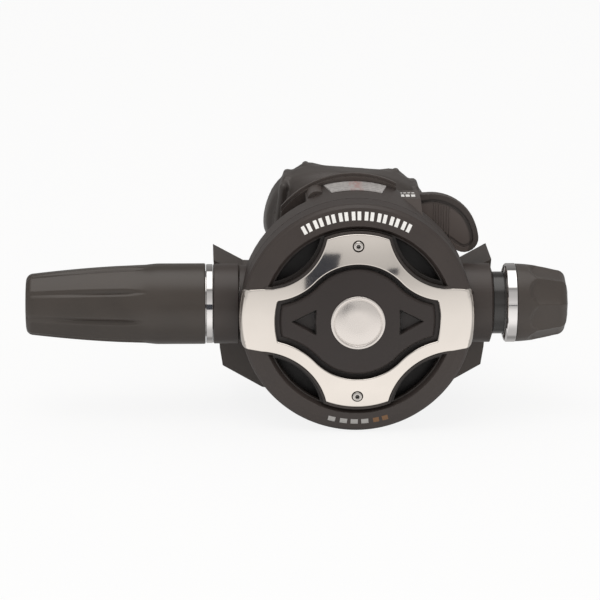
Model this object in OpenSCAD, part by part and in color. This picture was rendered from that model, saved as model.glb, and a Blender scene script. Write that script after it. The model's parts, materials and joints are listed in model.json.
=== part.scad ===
// Second stage of a scuba regulator: a round case with its cover, purge button and
// diaphragm in front, the air barrel across it, the mouthpiece and the exhaust behind.
// The origin is where the air barrel's axis (X) crosses the case's axis (Y).
// -Y is the front, with the purge button; +X is the side of the breathing-effort knob.

/* [Case] */
// Radius of the case and of the cover ring
case_r = 37; // [36:0.25:39]
// Wall of the case
case_wall = 2.4; // [2:0.1:3]
// Distance from the barrel's axis forward to the joint between case and cover
case_front = 11; // [10.8:0.1:12]
// Distance from the barrel's axis back to the rear face of the case
case_back = 15.5; // [15:0.25:18]
// How much the case narrows towards its rear edge, beside its roof
back_in = 3.6; // [2:0.1:4.4]
// How far the neck that the cover screws onto stands inside the case's radius
neck_step = 2.7; // [2.2:0.1:3]
// Length of that neck
neck_len = 5; // [4:0.25:5.5]
// Radius of the two collars that hold the barrel
collar_r = 12.7; // [12:0.1:13.5]
// How far the right collar stands out from the case
collar_len = 6.4; // [4.4:0.2:6.6]

/* [Cover] */
// Gap between the button's flange and the metal plate in front of it
plate_over = 0.39; // [0.3:0.01:1]
// Radius of the shallow sphere that the plate follows
dome_r = 116; // [100:1:140]
// Thickness of the metal plate
plate_t = 0.9; // [0.6:0.1:1.2]
// Width of the cover ring outside its recesses
bevel_w = 6.8; // [6.2:0.1:7.4]
// How far the plate's two short arms stop inside the recesses' outer edge
plate_step = 2; // [1.4:0.1:3]
// Half width of the plate's long arms where they leave the recesses
arm_half = 10.2; // [9.4:0.1:11]
// How far the long arms narrow on their way to the rim
arm_taper = 1.6; // [0.5:0.1:3]
// Black edge of the cover beside the plate
frame_edge = 0.8; // [0.4:0.1:1.2]

/* [Purge button] */
// Width of the plate above and below its round cut-out
plate_band = 9.6; // [8.6:0.1:11]
// Width of the plate outside the cut-out's two side arms
arm_band = 10.9; // [10:0.1:13]
// Radius of the hollow curves that join the middle to the side arms
cut_blend_r = 21; // [18:0.5:24]
// Gap between the button and the plate
button_gap = 1.45; // [0.8:0.05:2]
// Travel of the button
purge_travel = 2.5; // [1.5:0.1:2.8]

/* [Barrel] */
// Outer radius of the air barrel
barrel_r = 8.5; // [8.2:0.05:8.9]
// Wall of the air barrel
barrel_wall = 1.9; // [1.6:0.05:2.1]
// Radius of the inlet thread
inlet_r = 7.1; // [6.8:0.05:7.3]
// Radius of the valve seat's opening
orifice_r = 1.6; // [1.2:0.1:2]

/* [Knob] */
// Gap between the right collar and the knob
knob_gap = 4.3; // [3.9:0.1:6.5]
// Length of the knob with its metal ring
knob_len = 20.8; // [19:0.1:24]
// Radius of the knob's metal ring
knob_r = 12.7; // [12:0.1:13.5]
// Radius of the neck between case and knob
gland_r = 10; // [9.6:0.1:10.4]
// How far the knob screws in
knob_travel = 2.5; // [1.5:0.1:2.6]
// Number of flats on the grip
knob_flats = 8; // [6:1:10]

/* [Hose end] */
// Radius of the swivel nut's visible flange
nut_r = 12.7; // [12:0.1:12.9]
// Length of that flange
nut_flange = 2.1; // [1.6:0.1:3]
// Length of the rubber sleeve over the hose end
sleeve_len = 57.5; // [54:0.5:64]
// Radius of the sleeve at the case end
sleeve_r = 12.97; // [12.6:0.1:13.6]
// Radius of the sleeve at its outer end, before the rounding
sleeve_tip_r = 9.9; // [9.2:0.1:10.6]
// Radius of the hose bore in the sleeve
hose_r = 6.4; // [6:0.1:6.8]

/* [Mouthpiece] */
// Height of the mouth tube's centre above the barrel's axis
mouth_z = 16; // [15.5:0.25:18]
// Radius of the mouth tube's round sides
mouth_r = 11; // [10.6:0.1:11.4]
// Half length of the mouth tube's flat top and bottom
mouth_flat = 6; // [5.5:0.1:7]
// Length of the mouth tube behind the case
mouth_len = 20.5; // [19.5:0.5:24]
// Half width of the lip shield
shield_w = 29.3; // [27:0.25:31]
// Half height of the lip shield
shield_h = 17.4; // [16.5:0.1:19]
// Length of the bite wings behind the shield
bite_len = 21; // [18:0.5:26]
// How far the soft mouthpiece is turned on its tube, in degrees
mouth_roll = 4.5; // [0:0.5:6]

/* [Exhaust] */
// Radius of the exhaust opening
exhaust_r = 13.6; // [12.5:0.1:14]
// Depth of its centre below the barrel's axis
exhaust_z = 15; // [14.8:0.1:15.6]
// How far each wing of the tee stands out past the case
tee_wing = 8.3; // [6.5:0.1:13]
// Depth of the tee from front to back
tee_depth = 21; // [19:0.5:24]
// Wall of the tee
tee_wall = 1.6; // [1.2:0.1:2.2]

/* [Dive lever] */
// Distance of the lever's spindle from the case's centre plane
lever_x = 12; // [11.6:0.1:12.6]
// Reach of the lever from the spindle to its tip
lever_reach = 29.1; // [27:0.1:31]
// Thickness of the lever's ear
ear_t = 3.6; // [3:0.1:4]

/* [Hidden] */
$fn = 72;

slip = 0.1;        // running clearance round a shaft
touch = 0.05;      // gap between fixed pieces that bear on each other
free = 0.3;        // gap between pieces that move past each other
over = 1;          // how far a cutter passes the face it cuts

// ---- radii about the case's axis ----
neck_r = case_r - neck_step;
clamp_w = 3.3;                              // width of the diaphragm's clamping face
neck_in = neck_r - clamp_w;
chamber_r = case_r - case_wall;
recess_r = case_r - bevel_w;                // outer edge of the recesses
plate_r = recess_r - plate_step;            // ends of the plate's short arms
cut_r = plate_r - plate_band;               // round middle of the plate's cut-out
cut_arm_r = case_r - arm_band;              // and its side arms
fold_w = 13;                                // width of the diaphragm's fold
middle_r = neck_in - fold_w;                // its raised middle
back_round = 3;                             // rounding of the case's rear edge
back_r = case_r - back_in;                  // radius of the case at its rear edge
back_y = case_back - 0.87 * back_round;     // where that rounding begins

// ---- stations along Y, from the front ----
neck_y = -case_front - neck_len;            // front face of the neck
bead_t = 1;                                 // diaphragm bead
slip_t = 0.5;                               // slip ring
seat_y = neck_y - bead_t - slip_t;          // the cover's clamping face
web_back = seat_y - purge_travel - 0.4;     // rear face of the cover's web
web_t = 0.9;                                // its thickness in the recesses
flange_t = 1.2;                             // the button's flange
flange_y = web_back - 1;                    // its rear face
flange_w = 1.2;                             // and how far it reaches behind the plate
// how far the plate's crown stands in front of the barrel's axis
dome_front = flange_t - flange_y + plate_over + plate_t + pow(cut_arm_r + flange_w, 2) / (2 * dome_r);
membrane_y = neck_y - purge_travel - slip;  // rear face of the diaphragm's raised middle
skin = 0.7;                                 // thickness of the diaphragm
disc_t = 1;                                 // and of its stiff disc
chamber_back = case_back - case_wall - 0.1;
function dome_y(r) = -dome_front + r * r / (2 * dome_r);

// ---- stations along X ----
barrel_in = barrel_r - barrel_wall;
oring_in = 3.6;                             // how far inside the case's radius its O-rings lie
groove_w = 2;                               // grooves for the barrel's O-rings
groove_d = 1.2;
retainer_x = -case_r - 0.3;                 // inner face of the inlet retainer
retainer_len = 8.2;
nut_x = retainer_x - retainer_len - slip;   // inner face of the swivel nut
nut_body_r = 10.5;                          // the nut inside the sleeve
nut_round = 0.5;
thread_len = 9;                             // inlet thread
nipple_x = nut_x - thread_len;              // its end, where the nipple begins
nipple_r = 4.3;                             // the nipple's pilot inside the barrel
nipple_neck_r = 5.2;                        // the nipple where it leaves the nut
nipple_face = 3.1;                          // the shoulder that the nut pulls on
barb_pitch = 3.8;
nut_tail = 5.2;                             // the nut behind the thread's end
nut_end = nipple_x - nut_tail;
barb_len = 22;                              // the barbs behind the nut
sleeve_x = nut_x - nut_flange - 0.24;       // inner end of the sleeve
sleeve_end = sleeve_x - sleeve_len;
sleeve_round = 2.4;
waist_len = 20.2;                           // the sleeve's length before it begins to taper
sleeve_waist = sleeve_x - waist_len;
seat_depth = 3;                             // how far inside the case the valve seat lies
orifice_tip = -case_r + seat_depth;
seat_out = 6.9;                             // and how far outside it the seat piece ends
orifice_end = -case_r - seat_out;
collar_root = 8;                            // how far the collars reach into the case
collar_x = case_r + collar_len;
collar_tip = collar_x + 0.9;                // end of the collar's bevel
gland_x = collar_tip + touch;
barrel_end = collar_x - 0.4;
knob_x = collar_x + knob_gap;
knob_end = knob_x + knob_len;
knob_ring_len = 3.9;
gland_end = knob_x + 2.5;                   // outer end of the neck, inside the knob
core_r = 8.6;
core_x = gland_end + knob_travel + 0.4;
cap_t = 5.6;                                // end wall of the knob
core_end = knob_end - cap_t;
bolt_r = 1.45;                              // the knob's screw
bolt_head_r = 2.6;
bolt_head_t = 1.6;
grip_x = knob_x + knob_ring_len + touch;
grip_tip_r = 10.7;
grip_round = 3;
flat_curve = 22.8;                          // radius of the grip's hollow flats
flat_r = 9.4;                               // their distance from the axis at the knob's end
pusher_in = 7;
pusher_x = case_r - pusher_in;              // face of the pusher that the spring bears on
pusher_t = 4.4;
pusher_room = 7.2;
plug_x = pusher_x + pusher_room;            // inner end of the adjuster's neck
spring_len = 20;
spring_x = pusher_x - spring_len;           // face of the poppet that the spring bears on
spring_r = 4.6;
spring_wire = 0.45;
stem_r = 4;

// ---- the demand lever ----
pivot_in = 15;                              // how far inside the case the lever turns
pivot_x = -case_r + pivot_in;
pivot_y = 3;
lever_tip_x = 0;
foot_y = -2;                                // the foot's pushing corner
lever_t = 0.9;                              // thickness of its sheet
foot_r = 1.1;                               // the foot's round end, about the pivot
leg_w = 4;
leg_z = barrel_r + 0.7;                     // inner face of a leg
arm_w = 4.8;
tip_y = membrane_y + disc_t + touch + free; // where the lever meets the disc

// ---- the dive lever ----
spindle_y = case_back + 5.5;
spindle_r = 2;
spindle_in = 4;                             // how far its lower end passes the tube's centre
boss_r = 3.8;
boss_top = mouth_z + mouth_r + 0.3;
hub_r = 4.4;
hub_len = 4.2;
vane_t = 1.2;
vane_len = 11;
vane_z = mouth_r - 5;                       // the vane's half height
ear_y = case_back + 1.1;                    // front face of the ear
ear_big_r = 15.6;                           // the ear's round back
ear_small_r = 4.7;                          // its lower corner
ear_rim = 1.7;                              // raised rim
ear_cx = lever_x + lever_reach - ear_big_r;
ear_cz = mouth_z + 0.6;

// ---- the mouthpiece ----
rubber = 2.4;
tube_wall = 1.7;
mouth_y = case_back + mouth_len;            // end of the mouth tube
shield_gap = 9;                             // from there to the lip shield
skirt = 9;                                  // depth of the shield's rim
shield_y = mouth_y + shield_gap;
strap_w = 4.4;
strap_t = 1.2;
strap_in = 0.6;                             // how deep the strap lies in the rubber
groove_y = mouth_y - strap_w - 2;           // strap groove

// ---- the exhaust ----
exhaust_lip = exhaust_r + 1.6;              // raised ring round the exhaust opening
lip_rise = 3;
lip_wall = 1.2;
hub_in = 3;                                 // hub that holds the valve
spoke = 1.6;
valve_stem_r = 1.25;
valve_t = 0.9;
tee_front = case_back + 0.1;
tee_half = case_r + tee_wing;               // half span of the tee
tee_top = mouth_z - mouth_r - rubber - 1.4; // top edge between the wings

// ------------------------------------------------------------------ shapes

module disc_y(r, y0, y1) {
    translate([0, y0, 0]) rotate([-90, 0, 0]) cylinder(r = r, h = y1 - y0);
}

module disc_x(r, x0, x1) {
    translate([x0, 0, 0]) rotate([0, 90, 0]) cylinder(r = r, h = x1 - x0);
}

module cone_x(r0, r1, x0, x1) {
    translate([x0, 0, 0]) rotate([0, 90, 0]) cylinder(r1 = r0, r2 = r1, h = x1 - x0);
}

// a profile of [radius, y] points turned about the Y axis
module spun_y(points) {
    rotate([-90, 0, 0]) rotate_extrude() polygon(points);
}

// a profile of [radius, x] points turned about the X axis
module spun_x(points) {
    rotate([0, 90, 0]) rotate_extrude() polygon(points);
}

// a flat shape in X and Z, made solid from y0 to y1
module slab_y(y0, y1) {
    translate([0, y1, 0]) rotate([90, 0, 0]) linear_extrude(y1 - y0) children();
}

// a flat shape in X and Y, made solid from z0 to z1
module slab_z(z0, z1) {
    translate([0, 0, z0]) linear_extrude(z1 - z0) children();
}

// a flat shape in Y and Z, made solid from x0 to x1
module slab_x(x0, x1) {
    translate([x0, 0, 0]) rotate([90, 0, 90]) linear_extrude(x1 - x0) children();
}

// a ring of round wire about the X axis
module oring_x(x, r, wire) {
    translate([x, 0, 0]) rotate([0, 90, 0]) rotate_extrude() translate([r, 0]) circle(wire, $fn = 24);
}

module both_z() {
    children();
    mirror([0, 0, 1]) children();
}

module both_x() {
    children();
    mirror([1, 0, 0]) children();
}

// a flat shape and its mirror image
module both_sides() {
    children();
    mirror([1, 0]) children();
}

// a flat shape in all four quarters
module quarters() {
    both_sides() children();
    mirror([0, 1]) both_sides() children();
}

// points of an arc about [cx, cy], from angle a0 to a1
function arc(cx, cy, r, a0, a1, n) =
    [for (i = [0 : n]) let (a = a0 + (a1 - a0) * i / n) [cx + r * cos(a), cy + r * sin(a)]];

// a closed skin over rings of points; the last ring joins the first
module ring_skin(rings) {
    n = len(rings);
    m = len(rings[0]);
    points = [for (ring = rings, p = ring) p];
    faces = [for (k = [0 : n - 1], i = [0 : m - 1])
        let (a = k * m + i, b = k * m + (i + 1) % m,
            c = ((k + 1) % n) * m + (i + 1) % m, d = ((k + 1) % n) * m + i)
        each [[a, b, c], [a, c, d]]];
    polyhedron(points, faces);
}

// a round wire along a helix about the X axis, closed by flat ends
module helix_x(x0, x1, r, wire, turns) {
    steps = turns * 16;
    sides = 6;
    pitch = (x1 - x0 - 2 * wire) / turns;
    lean = atan(pitch / (2 * PI * r));
    points = [for (k = [0 : steps]) let (a = 360 * k / 16, x = x0 + wire + pitch * k / 16)
        for (s = [0 : sides - 1]) let (b = 360 * s / sides, u = wire * cos(b), v = wire * sin(b))
            [x + v * cos(lean), (r + u) * cos(a) + v * sin(lean) * sin(a),
                (r + u) * sin(a) - v * sin(lean) * cos(a)]];
    sides_faces = [for (k = [0 : steps - 1], s = [0 : sides - 1])
        let (a = k * sides + s, b = k * sides + (s + 1) % sides, c = b + sides, d = a + sides)
        each [[a, d, c], [a, c, b]]];
    cap_a = [for (s = [0 : sides - 1]) s];
    cap_b = [for (s = [sides - 1 : -1 : 0]) steps * sides + s];
    polyhedron(points, concat(sides_faces, [cap_a], [cap_b]));
}

// ------------------------------------------------------------------ outlines in X and Z

recess_curve = 20.8;                               // radius of a recess's inner curve
recess_x = recess_r;                               // and its centre
recess_z = arm_half + recess_curve;

// the metal plate's outline, grown by g
module plate_outline(g) {
    difference() {
        intersection() {
            union() {
                circle(plate_r + g);
                polygon([for (s = [[1, 1], [1, -1], [-1, -1], [-1, 1]], p = [0, 1])
                    let (end = (s[0] * s[1] > 0) ? p : 1 - p)
                    [s[0] * (end == 0 ? recess_x : case_r + 2),
                        s[1] * (arm_half + g - (end == 0 ? 0 : arm_taper))]]);
            }
            circle(case_r - 0.1);
        }
        quarters() translate([recess_x, recess_z]) circle(recess_curve - g);
    }
}

blend_a = 43.5;                                    // where the hollow curve leaves the middle

// the outline of the cut-out for the purge button, grown by g
module cut_outline(g) {
    blend_d = cut_r + cut_blend_r;
    half = cut_r * sin(blend_a);
    difference() {
        union() {
            circle(cut_r + g);
            intersection() {
                circle(cut_arm_r + g);
                square([2 * cut_arm_r + 4, 2 * half], center = true);
            }
        }
        quarters() translate([blend_d * cos(blend_a), blend_d * sin(blend_a)]) circle(cut_blend_r - g);
    }
}

// the mouth tube's oval, with its round sides of radius r
module mouth_oval(r) {
    translate([0, mouth_z]) {
        square([2 * mouth_flat, 2 * r], center = true);
        both_sides() translate([mouth_flat, 0]) circle(r);
    }
}

// everything behind the plate's sphere, moved back by t
module behind_dome(t) {
    translate([0, dome_r - dome_front + t, 0]) sphere(dome_r, $fn = 180);
}

// ------------------------------------------------------------------ case

block_top = case_r - 3.3;                          // flat top of the roof block
block_x = 17;                                      // its middle
block_half = 4.2;
roof_boss_r = 3.3;
roof_boss_x = -12;
roof_boss_len = 10;
roof_left = -15.6;                                 // left edge of the raised roof
crest_r = 30.3;                                    // the crest behind the label
crest_z = 9.4;
crest_y = back_y + 0.25;
label_half = 9.1;                                  // the label's half width at its front edge
label_x = 0.5;

module case_shell() {
    spun_y([[0, case_back], [back_r - back_round, case_back],
        [back_r - 0.3 * back_round, case_back - 0.27 * back_round],
        [back_r, back_y], [case_r, 0], [case_r, -case_front], [neck_r, -case_front],
        [neck_r, neck_y], [0, neck_y]]);
}

// the raised roof that carries the label, and its crest at the back, in two steps
module case_roof() {
    intersection() {
        disc_y(case_r, -over, case_back - 1.2);
        slab_z(case_r / 2, case_r) polygon([[roof_left, -over], [block_x, -over],
            [block_x, case_back], [roof_left, case_back]]);
    }
    intersection() {
        translate([0, 0, crest_z]) {
            disc_y(crest_r - 0.9, crest_y, case_back - 1);
            disc_y(crest_r, crest_y + 1.2, case_back + 0.4);
        }
        translate([1.5 * roof_left, 0, 0.6 * case_r])
            cube([block_x - block_half + over - 1.5 * roof_left, 2 * case_back, case_r]);
    }
}

// everything behind the joint between case and cover
module behind_joint() {
    translate([-2 * case_r, -case_front + slip, -case_r]) cube([4 * case_r, 4 * case_r, 2 * case_r]);
}

module collar_left() {
    intersection() {
        disc_x(collar_r - 0.3, -case_r - 0.1, -case_r + collar_root);
        behind_joint();
    }
}

module collar_right() {
    intersection() {
        disc_x(collar_r, case_r - collar_root, case_r + 0.4);
        behind_joint();
    }
    disc_x(collar_r, case_r + 0.4, collar_x);
    cone_x(collar_r, gland_r, collar_x, collar_tip);
}

module exhaust_frame() {
    translate([0, 0, -exhaust_z]) {
        difference() {
            disc_y(exhaust_r, chamber_back - over, case_back + over);
            disc_y(hub_in, chamber_back - over, case_back);
            for (a = [45 : 90 : 315]) rotate([0, a, 0]) translate([0, chamber_back - over, -spoke / 2])
                cube([exhaust_r, case_back - chamber_back + over, spoke]);
        }
        disc_y(valve_stem_r + touch, chamber_back - over, case_back + over);
    }
}

module case_body() color([0.13, 0.12, 0.12]) {
    difference() {
        union() {
            case_shell();
            case_roof();
            collar_left();
            collar_right();
            slab_y(chamber_back, mouth_y) mouth_oval(mouth_r);
            // raised ring that the exhaust tee fits over
            translate([0, 0, -exhaust_z]) difference() {
                disc_y(exhaust_lip, case_back - 0.5, case_back + lip_rise);
                disc_y(exhaust_lip - lip_wall, case_back, case_back + lip_rise + over);
            }
            // boss for the dive lever's spindle
            translate([lever_x, spindle_y, mouth_z]) cylinder(r = boss_r, h = boss_top - mouth_z);
            // flat-topped block beside the dive lever
            intersection() {
                translate([block_x - block_half, -case_front + over, 0])
                    cube([2 * block_half, case_front + case_back - 1.2, block_top]);
                slab_x(0, case_r) polygon([[-case_front, case_r / 2], [-case_front, block_top - 4],
                    [3, block_top], [case_back, block_top], [case_back, case_r / 2]]);
            }
            // rounded boss on the roof
            translate([roof_boss_x, 3.5, case_r - roof_boss_r - 0.9]) rotate([-90, 0, 0])
                cylinder(r = roof_boss_r, h = roof_boss_len);
        }
        difference() {
            spun_y([[0, -case_front + 0.6], [chamber_r, -case_front + 0.6], [chamber_r, 0],
                [chamber_r - back_in, chamber_back], [0, chamber_back]]);
            both_x() disc_x(barrel_r + 2, case_r - collar_root, case_r + over);
        }
        disc_y(neck_in, neck_y - over, -case_front + 1.2);
        disc_x(barrel_r + touch, -case_r - over, collar_tip + over);
        slab_y(chamber_back - over, mouth_y + over) mouth_oval(mouth_r - tube_wall);
        exhaust_frame();
        translate([lever_x, spindle_y, mouth_z]) cylinder(r = spindle_r + slip, h = mouth_r + over);
        translate([lever_x, spindle_y, boss_top - 1.6]) cylinder(r = spindle_r + 1, h = 1.6 + over);
    }
}

module label_strip() color([0.72, 0.73, 0.74]) {
    intersection() {
        difference() {
            disc_y(case_r + 0.35, 0, case_back - 0.87 * back_round);
            disc_y(case_r + 0.04, -over, case_back);
        }
        slab_z(case_r / 2, case_r + over) polygon([[label_x - label_half + over, 0.2],
            [label_x + label_half - over, 0.2], [label_x + label_half + over, case_back - 0.9 * back_round],
            [label_x - label_half - over, case_back - 0.9 * back_round]]);
    }
}

// ------------------------------------------------------------------ cover

module cover_ring() color([0.15, 0.14, 0.14]) {
    skirt_in = neck_r + slip;
    lip_y = dome_y(recess_r) + 0.5;
    shoulder = recess_r + bevel_w / 2;
    difference() {
        union() {
            spun_y([[skirt_in, -case_front - 0.15], [case_r - 0.3, -case_front - 0.15],
                [case_r, -case_front - 0.45], [case_r, dome_y(case_r) + rim_round],
                [case_r - 0.12 * rim_round, dome_y(case_r) + 0.62 * rim_round],
                [case_r - 0.48 * rim_round, dome_y(case_r - 0.48 * rim_round) + 0.36 * rim_round],
                [shoulder, dome_y(shoulder) + 0.45], [recess_r + 0.3, lip_y],
                [recess_r, lip_y + 0.3], [recess_r - 1.6, web_back], [neck_in, web_back],
                [neck_in, seat_y], [skirt_in, seat_y]]);
            intersection() {
                slab_y(-dome_front - over, web_back) intersection() {
                    plate_outline(frame_edge);
                    circle(recess_r + 1);
                }
                behind_dome(0.05);
            }
            // sloped floors of the recesses, with a water port through each
            difference() {
                disc_y(recess_r, web_back - web_t, web_back);
                slab_y(web_back - 2 * web_t, web_back + over) difference() {
                    circle(recess_r - port_in);
                    plate_outline(frame_edge + port_side);
                }
            }
        }
        // seat of the metal plate
        difference() {
            slab_y(-dome_front - over, seat_y) plate_outline(touch);
            behind_dome(plate_t + touch);
        }
        // room for the bent ends of the long arms
        intersection() {
            difference() {
                disc_y(case_r + over, -dome_front, dome_y(case_r) + lip_len + touch);
                disc_y(case_r - lip_t - 0.1, -dome_front - over, 0);
            }
            cube([3 * case_r, 2 * case_r, 2 * (arm_half - arm_taper) + 0.1], center = true);
        }
        slab_y(-dome_front - over, flange_y) cut_outline(0.3);
        slab_y(flange_y - flange_t - free, web_back + over) cut_outline(flange_w + 0.4);
        both_z() translate([0, 0, screw_z]) disc_y(screw_r + touch, -dome_front, web_back - 0.4);
    }
}

rim_round = 2.1;                                   // rounding of the cover's rim
port_in = 1.2;                                     // the water ports stand inside the recesses
port_side = 1;
lip_len = 4;                                       // length of the plate's bent ends
lip_t = 0.65;                                      // and their thickness
screw_z = plate_r - 3.8;
screw_r = 1;
screw_head_r = 1.55;
screw_head_t = 0.8;
screw_head = dome_y(screw_z) - 0.45;

module cover_plate() color([0.78, 0.76, 0.74]) {
    difference() {
        union() {
            intersection() {
                slab_y(-dome_front - over, seat_y) plate_outline(0);
                difference() {
                    behind_dome(0);
                    behind_dome(plate_t);
                }
            }
            // ends of the long arms, bent back over the cover's rim
            intersection() {
                difference() {
                    disc_y(case_r - 0.1, dome_y(case_r) + 0.3, dome_y(case_r) + lip_len);
                    disc_y(case_r - lip_t - 0.1 + touch, dome_y(case_r) - over, 0);
                }
                cube([2 * case_r, 2 * case_r, 2 * (arm_half - arm_taper) - 0.1], center = true);
            }
        }
        slab_y(-dome_front - over, seat_y) cut_outline(0);
        both_z() translate([0, 0, screw_z]) {
            disc_y(screw_r + 0.15, -dome_front - over, seat_y);
            disc_y(screw_head_r + touch, -dome_front - over, screw_head + screw_head_t + touch);
        }
    }
}

module cover_screws() color([0.62, 0.62, 0.63]) {
    both_z() translate([0, 0, screw_z]) difference() {
        union() {
            disc_y(screw_head_r, screw_head, screw_head + screw_head_t);
            disc_y(screw_r, screw_head, web_back - 0.6);
        }
        translate([0, screw_head - 0.1, 0]) rotate([-90, 0, 0])
            cylinder(r = screw_head_r / 2, h = screw_head_t - 0.1, $fn = 6);
    }
}

button_y = -dome_front + 0.9;                      // crown of the button
button_edge = 1.45;                                // how far its edge lies behind the plate's sphere
button_step = 0.7;                                 // width of the step round it
dent_x = 16.4;                                     // middle of a finger recess
dent_half = 4.2;
pad_r = 9;                                         // pad that meets the diaphragm

module purge_button() color([0.17, 0.16, 0.16]) {
    difference() {
        union() {
            intersection() {
                slab_y(-dome_front, flange_y - 0.5) cut_outline(-button_gap);
                behind_dome(button_edge);
            }
            intersection() {
                slab_y(-dome_front, flange_y - 0.5) cut_outline(-button_gap - button_step);
                behind_dome(button_y + dome_front);
            }
            slab_y(flange_y - flange_t, flange_y) cut_outline(flange_w);
            disc_y(pad_r, flange_y - 0.5, membrane_y - skin - free);
        }
        // finger recesses, deepest at their upright side
        both_x() translate([dent_x, button_y + 0.4, 0]) rotate([0, 0, 8]) slab_y(-2.4, 0.9)
            polygon([[-dent_half, dent_half], [-dent_half, -dent_half], [dent_half, 0]]);
        disc_y(badge_r + touch, -dome_front - over, button_y + 0.55);
    }
}

badge_r = 8.6;

module button_badge() color([0.8, 0.8, 0.8]) {
    disc_y(badge_r, button_y - 0.1, button_y + 0.5);
}

// ------------------------------------------------------------------ diaphragm

module slip_ring() color([0.75, 0.75, 0.72]) {
    difference() {
        disc_y(neck_r - 0.1, seat_y + 0.01, seat_y + slip_t);
        disc_y(neck_in + 0.2, seat_y - over, seat_y + over);
    }
}

module diaphragm() color([0.25, 0.25, 0.27]) {
    fold = neck_in - middle_r;
    edge = skin - slip;
    spun_y([[0, membrane_y], [middle_r + 0.08 * fold, membrane_y],
        [middle_r + 0.35 * fold, neck_y - 2.5 * edge], [middle_r + 0.54 * fold, neck_y - edge],
        [neck_in - 0.19 * fold, neck_y - edge], [neck_in + 0.2, neck_y - 0.02],
        [neck_r - 0.1, neck_y - 0.02], [neck_r - 0.1, neck_y - bead_t + 0.02],
        [neck_in + 0.4, neck_y - bead_t + 0.02], [neck_in - 0.17 * fold, neck_y - 2 * edge],
        [middle_r + 0.51 * fold, neck_y - 2 * edge], [middle_r + 0.38 * fold, neck_y - 3.2 * edge],
        [middle_r + 0.09 * fold, membrane_y - skin], [0, membrane_y - skin]]);
}

module diaphragm_disc() color([0.85, 0.85, 0.82]) {
    difference() {
        disc_y(middle_r, membrane_y + touch, membrane_y + touch + disc_t);
        for (a = [30 : 60 : 330]) rotate([0, a, 0]) translate([2 * middle_r / 3, 0, 0])
            disc_y(middle_r / 7, -case_r, 0);
    }
}

// ------------------------------------------------------------------ demand lever and valve

bridge_y = -barrel_r - 2;                          // where the lever crosses the barrel

// a leg beside the barrel, and its foot that turns in the barrel's window
module lever_leg() {
    foot_in = barrel_in - 1.4;
    translate([0, 0, leg_z]) linear_extrude(lever_t) union() {
        polygon([[pivot_x - 0.45 * leg_w, bridge_y - lever_t], [pivot_x + 0.55 * leg_w, bridge_y - lever_t],
            [pivot_x + 0.55 * leg_w, bridge_y + 3], [pivot_x + foot_r, pivot_y],
            [pivot_x - foot_r, pivot_y], [pivot_x - 0.45 * leg_w, bridge_y + 3]]);
        translate([pivot_x, pivot_y]) circle(foot_r);
    }
    translate([pivot_x, pivot_y, foot_in]) cylinder(r = foot_r, h = leg_z - foot_in + over / 2);
    translate([pivot_x - foot_r, foot_y, foot_in])
        cube([2 * foot_r, pivot_y - foot_y, leg_z - foot_in + over / 2]);
}

module demand_lever() color([0.75, 0.75, 0.76]) {
    both_z() lever_leg();
    // bridge across the barrel, and the arm that rises to the diaphragm
    translate([pivot_x - 0.45 * leg_w, bridge_y - lever_t, -leg_z - lever_t])
        cube([leg_w, lever_t, 2 * (leg_z + lever_t)]);
    slab_z(-arm_w / 2, arm_w / 2) polygon([[pivot_x + 1, bridge_y], [pivot_x + 1, bridge_y - lever_t],
        [lever_tip_x - leg_w, tip_y + 0.6], [lever_tip_x - 2, tip_y + touch],
        [lever_tip_x + 1.4, tip_y + touch], [lever_tip_x + 3, tip_y + 1.1], [lever_tip_x + 2.4, tip_y + 1.7],
        [lever_tip_x + 1, tip_y + touch + lever_t], [lever_tip_x - 2, tip_y + touch + lever_t],
        [lever_tip_x - leg_w, tip_y + 0.6 + lever_t]]);
}

module air_barrel() color([0.62, 0.6, 0.58]) {
    difference() {
        union() {
            disc_x(barrel_r, nut_x, barrel_end);
            disc_x(inlet_r, nipple_x + slip, nut_x + over);
        }
        disc_x(barrel_in, orifice_end - slip, barrel_end + over);
        disc_x(nipple_r + slip, nipple_x - over, -case_r);
        // windows for the lever's feet
        translate([pivot_x - leg_w, foot_y - window_edge, -2 * barrel_r])
            cube([2 * leg_w, pivot_y - foot_y + 1.5 * leg_w, 4 * barrel_r]);
        // air outlet towards the mouth tube
        translate([outlet_x, 0, 0]) disc_y(outlet_r, 0, 2 * barrel_r);
        // grooves for the O-rings
        for (x = oring_places) difference() {
            disc_x(barrel_r + over, x - groove_w / 2, x + groove_w / 2);
            disc_x(barrel_r - groove_d, x - groove_w, x + groove_w);
        }
    }
}

outlet_x = 8;
window_edge = 2.4;                                 // room in front of the lever's feet
outlet_r = 3;
oring_places = [-case_r + oring_in, case_r - oring_in];

module barrel_orings() color([0.1, 0.1, 0.1]) {
    for (x = oring_places) oring_x(x, barrel_r - groove_d / 2, 0.48 * groove_d);
}

small_w = 1.3;                                     // grooves for the small O-rings
small_d = 1;
small_wire = 0.46;
groove_in = 3.5;                                   // from a plug's end to its O-ring
orifice_groove = orifice_end + groove_in;

module orifice() color([0.8, 0.78, 0.7]) {
    difference() {
        union() {
            disc_x(barrel_in - touch, orifice_end, -case_r + 1);
            disc_x(2 * barrel_in / 3, -case_r, orifice_tip - 1.2);
            cone_x(barrel_in / 2, orifice_r + 0.5, orifice_tip - 1.3, orifice_tip);
        }
        disc_x(orifice_r, orifice_end - over, orifice_tip + over);
        difference() {
            disc_x(barrel_r, orifice_groove, orifice_groove + small_w);
            disc_x(barrel_in - small_d, orifice_groove - over, orifice_groove + small_w + over);
        }
    }
}

module orifice_oring() color([0.1, 0.1, 0.1]) {
    oring_x(orifice_groove + small_w / 2, barrel_in - small_d / 2, small_wire);
}

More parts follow.
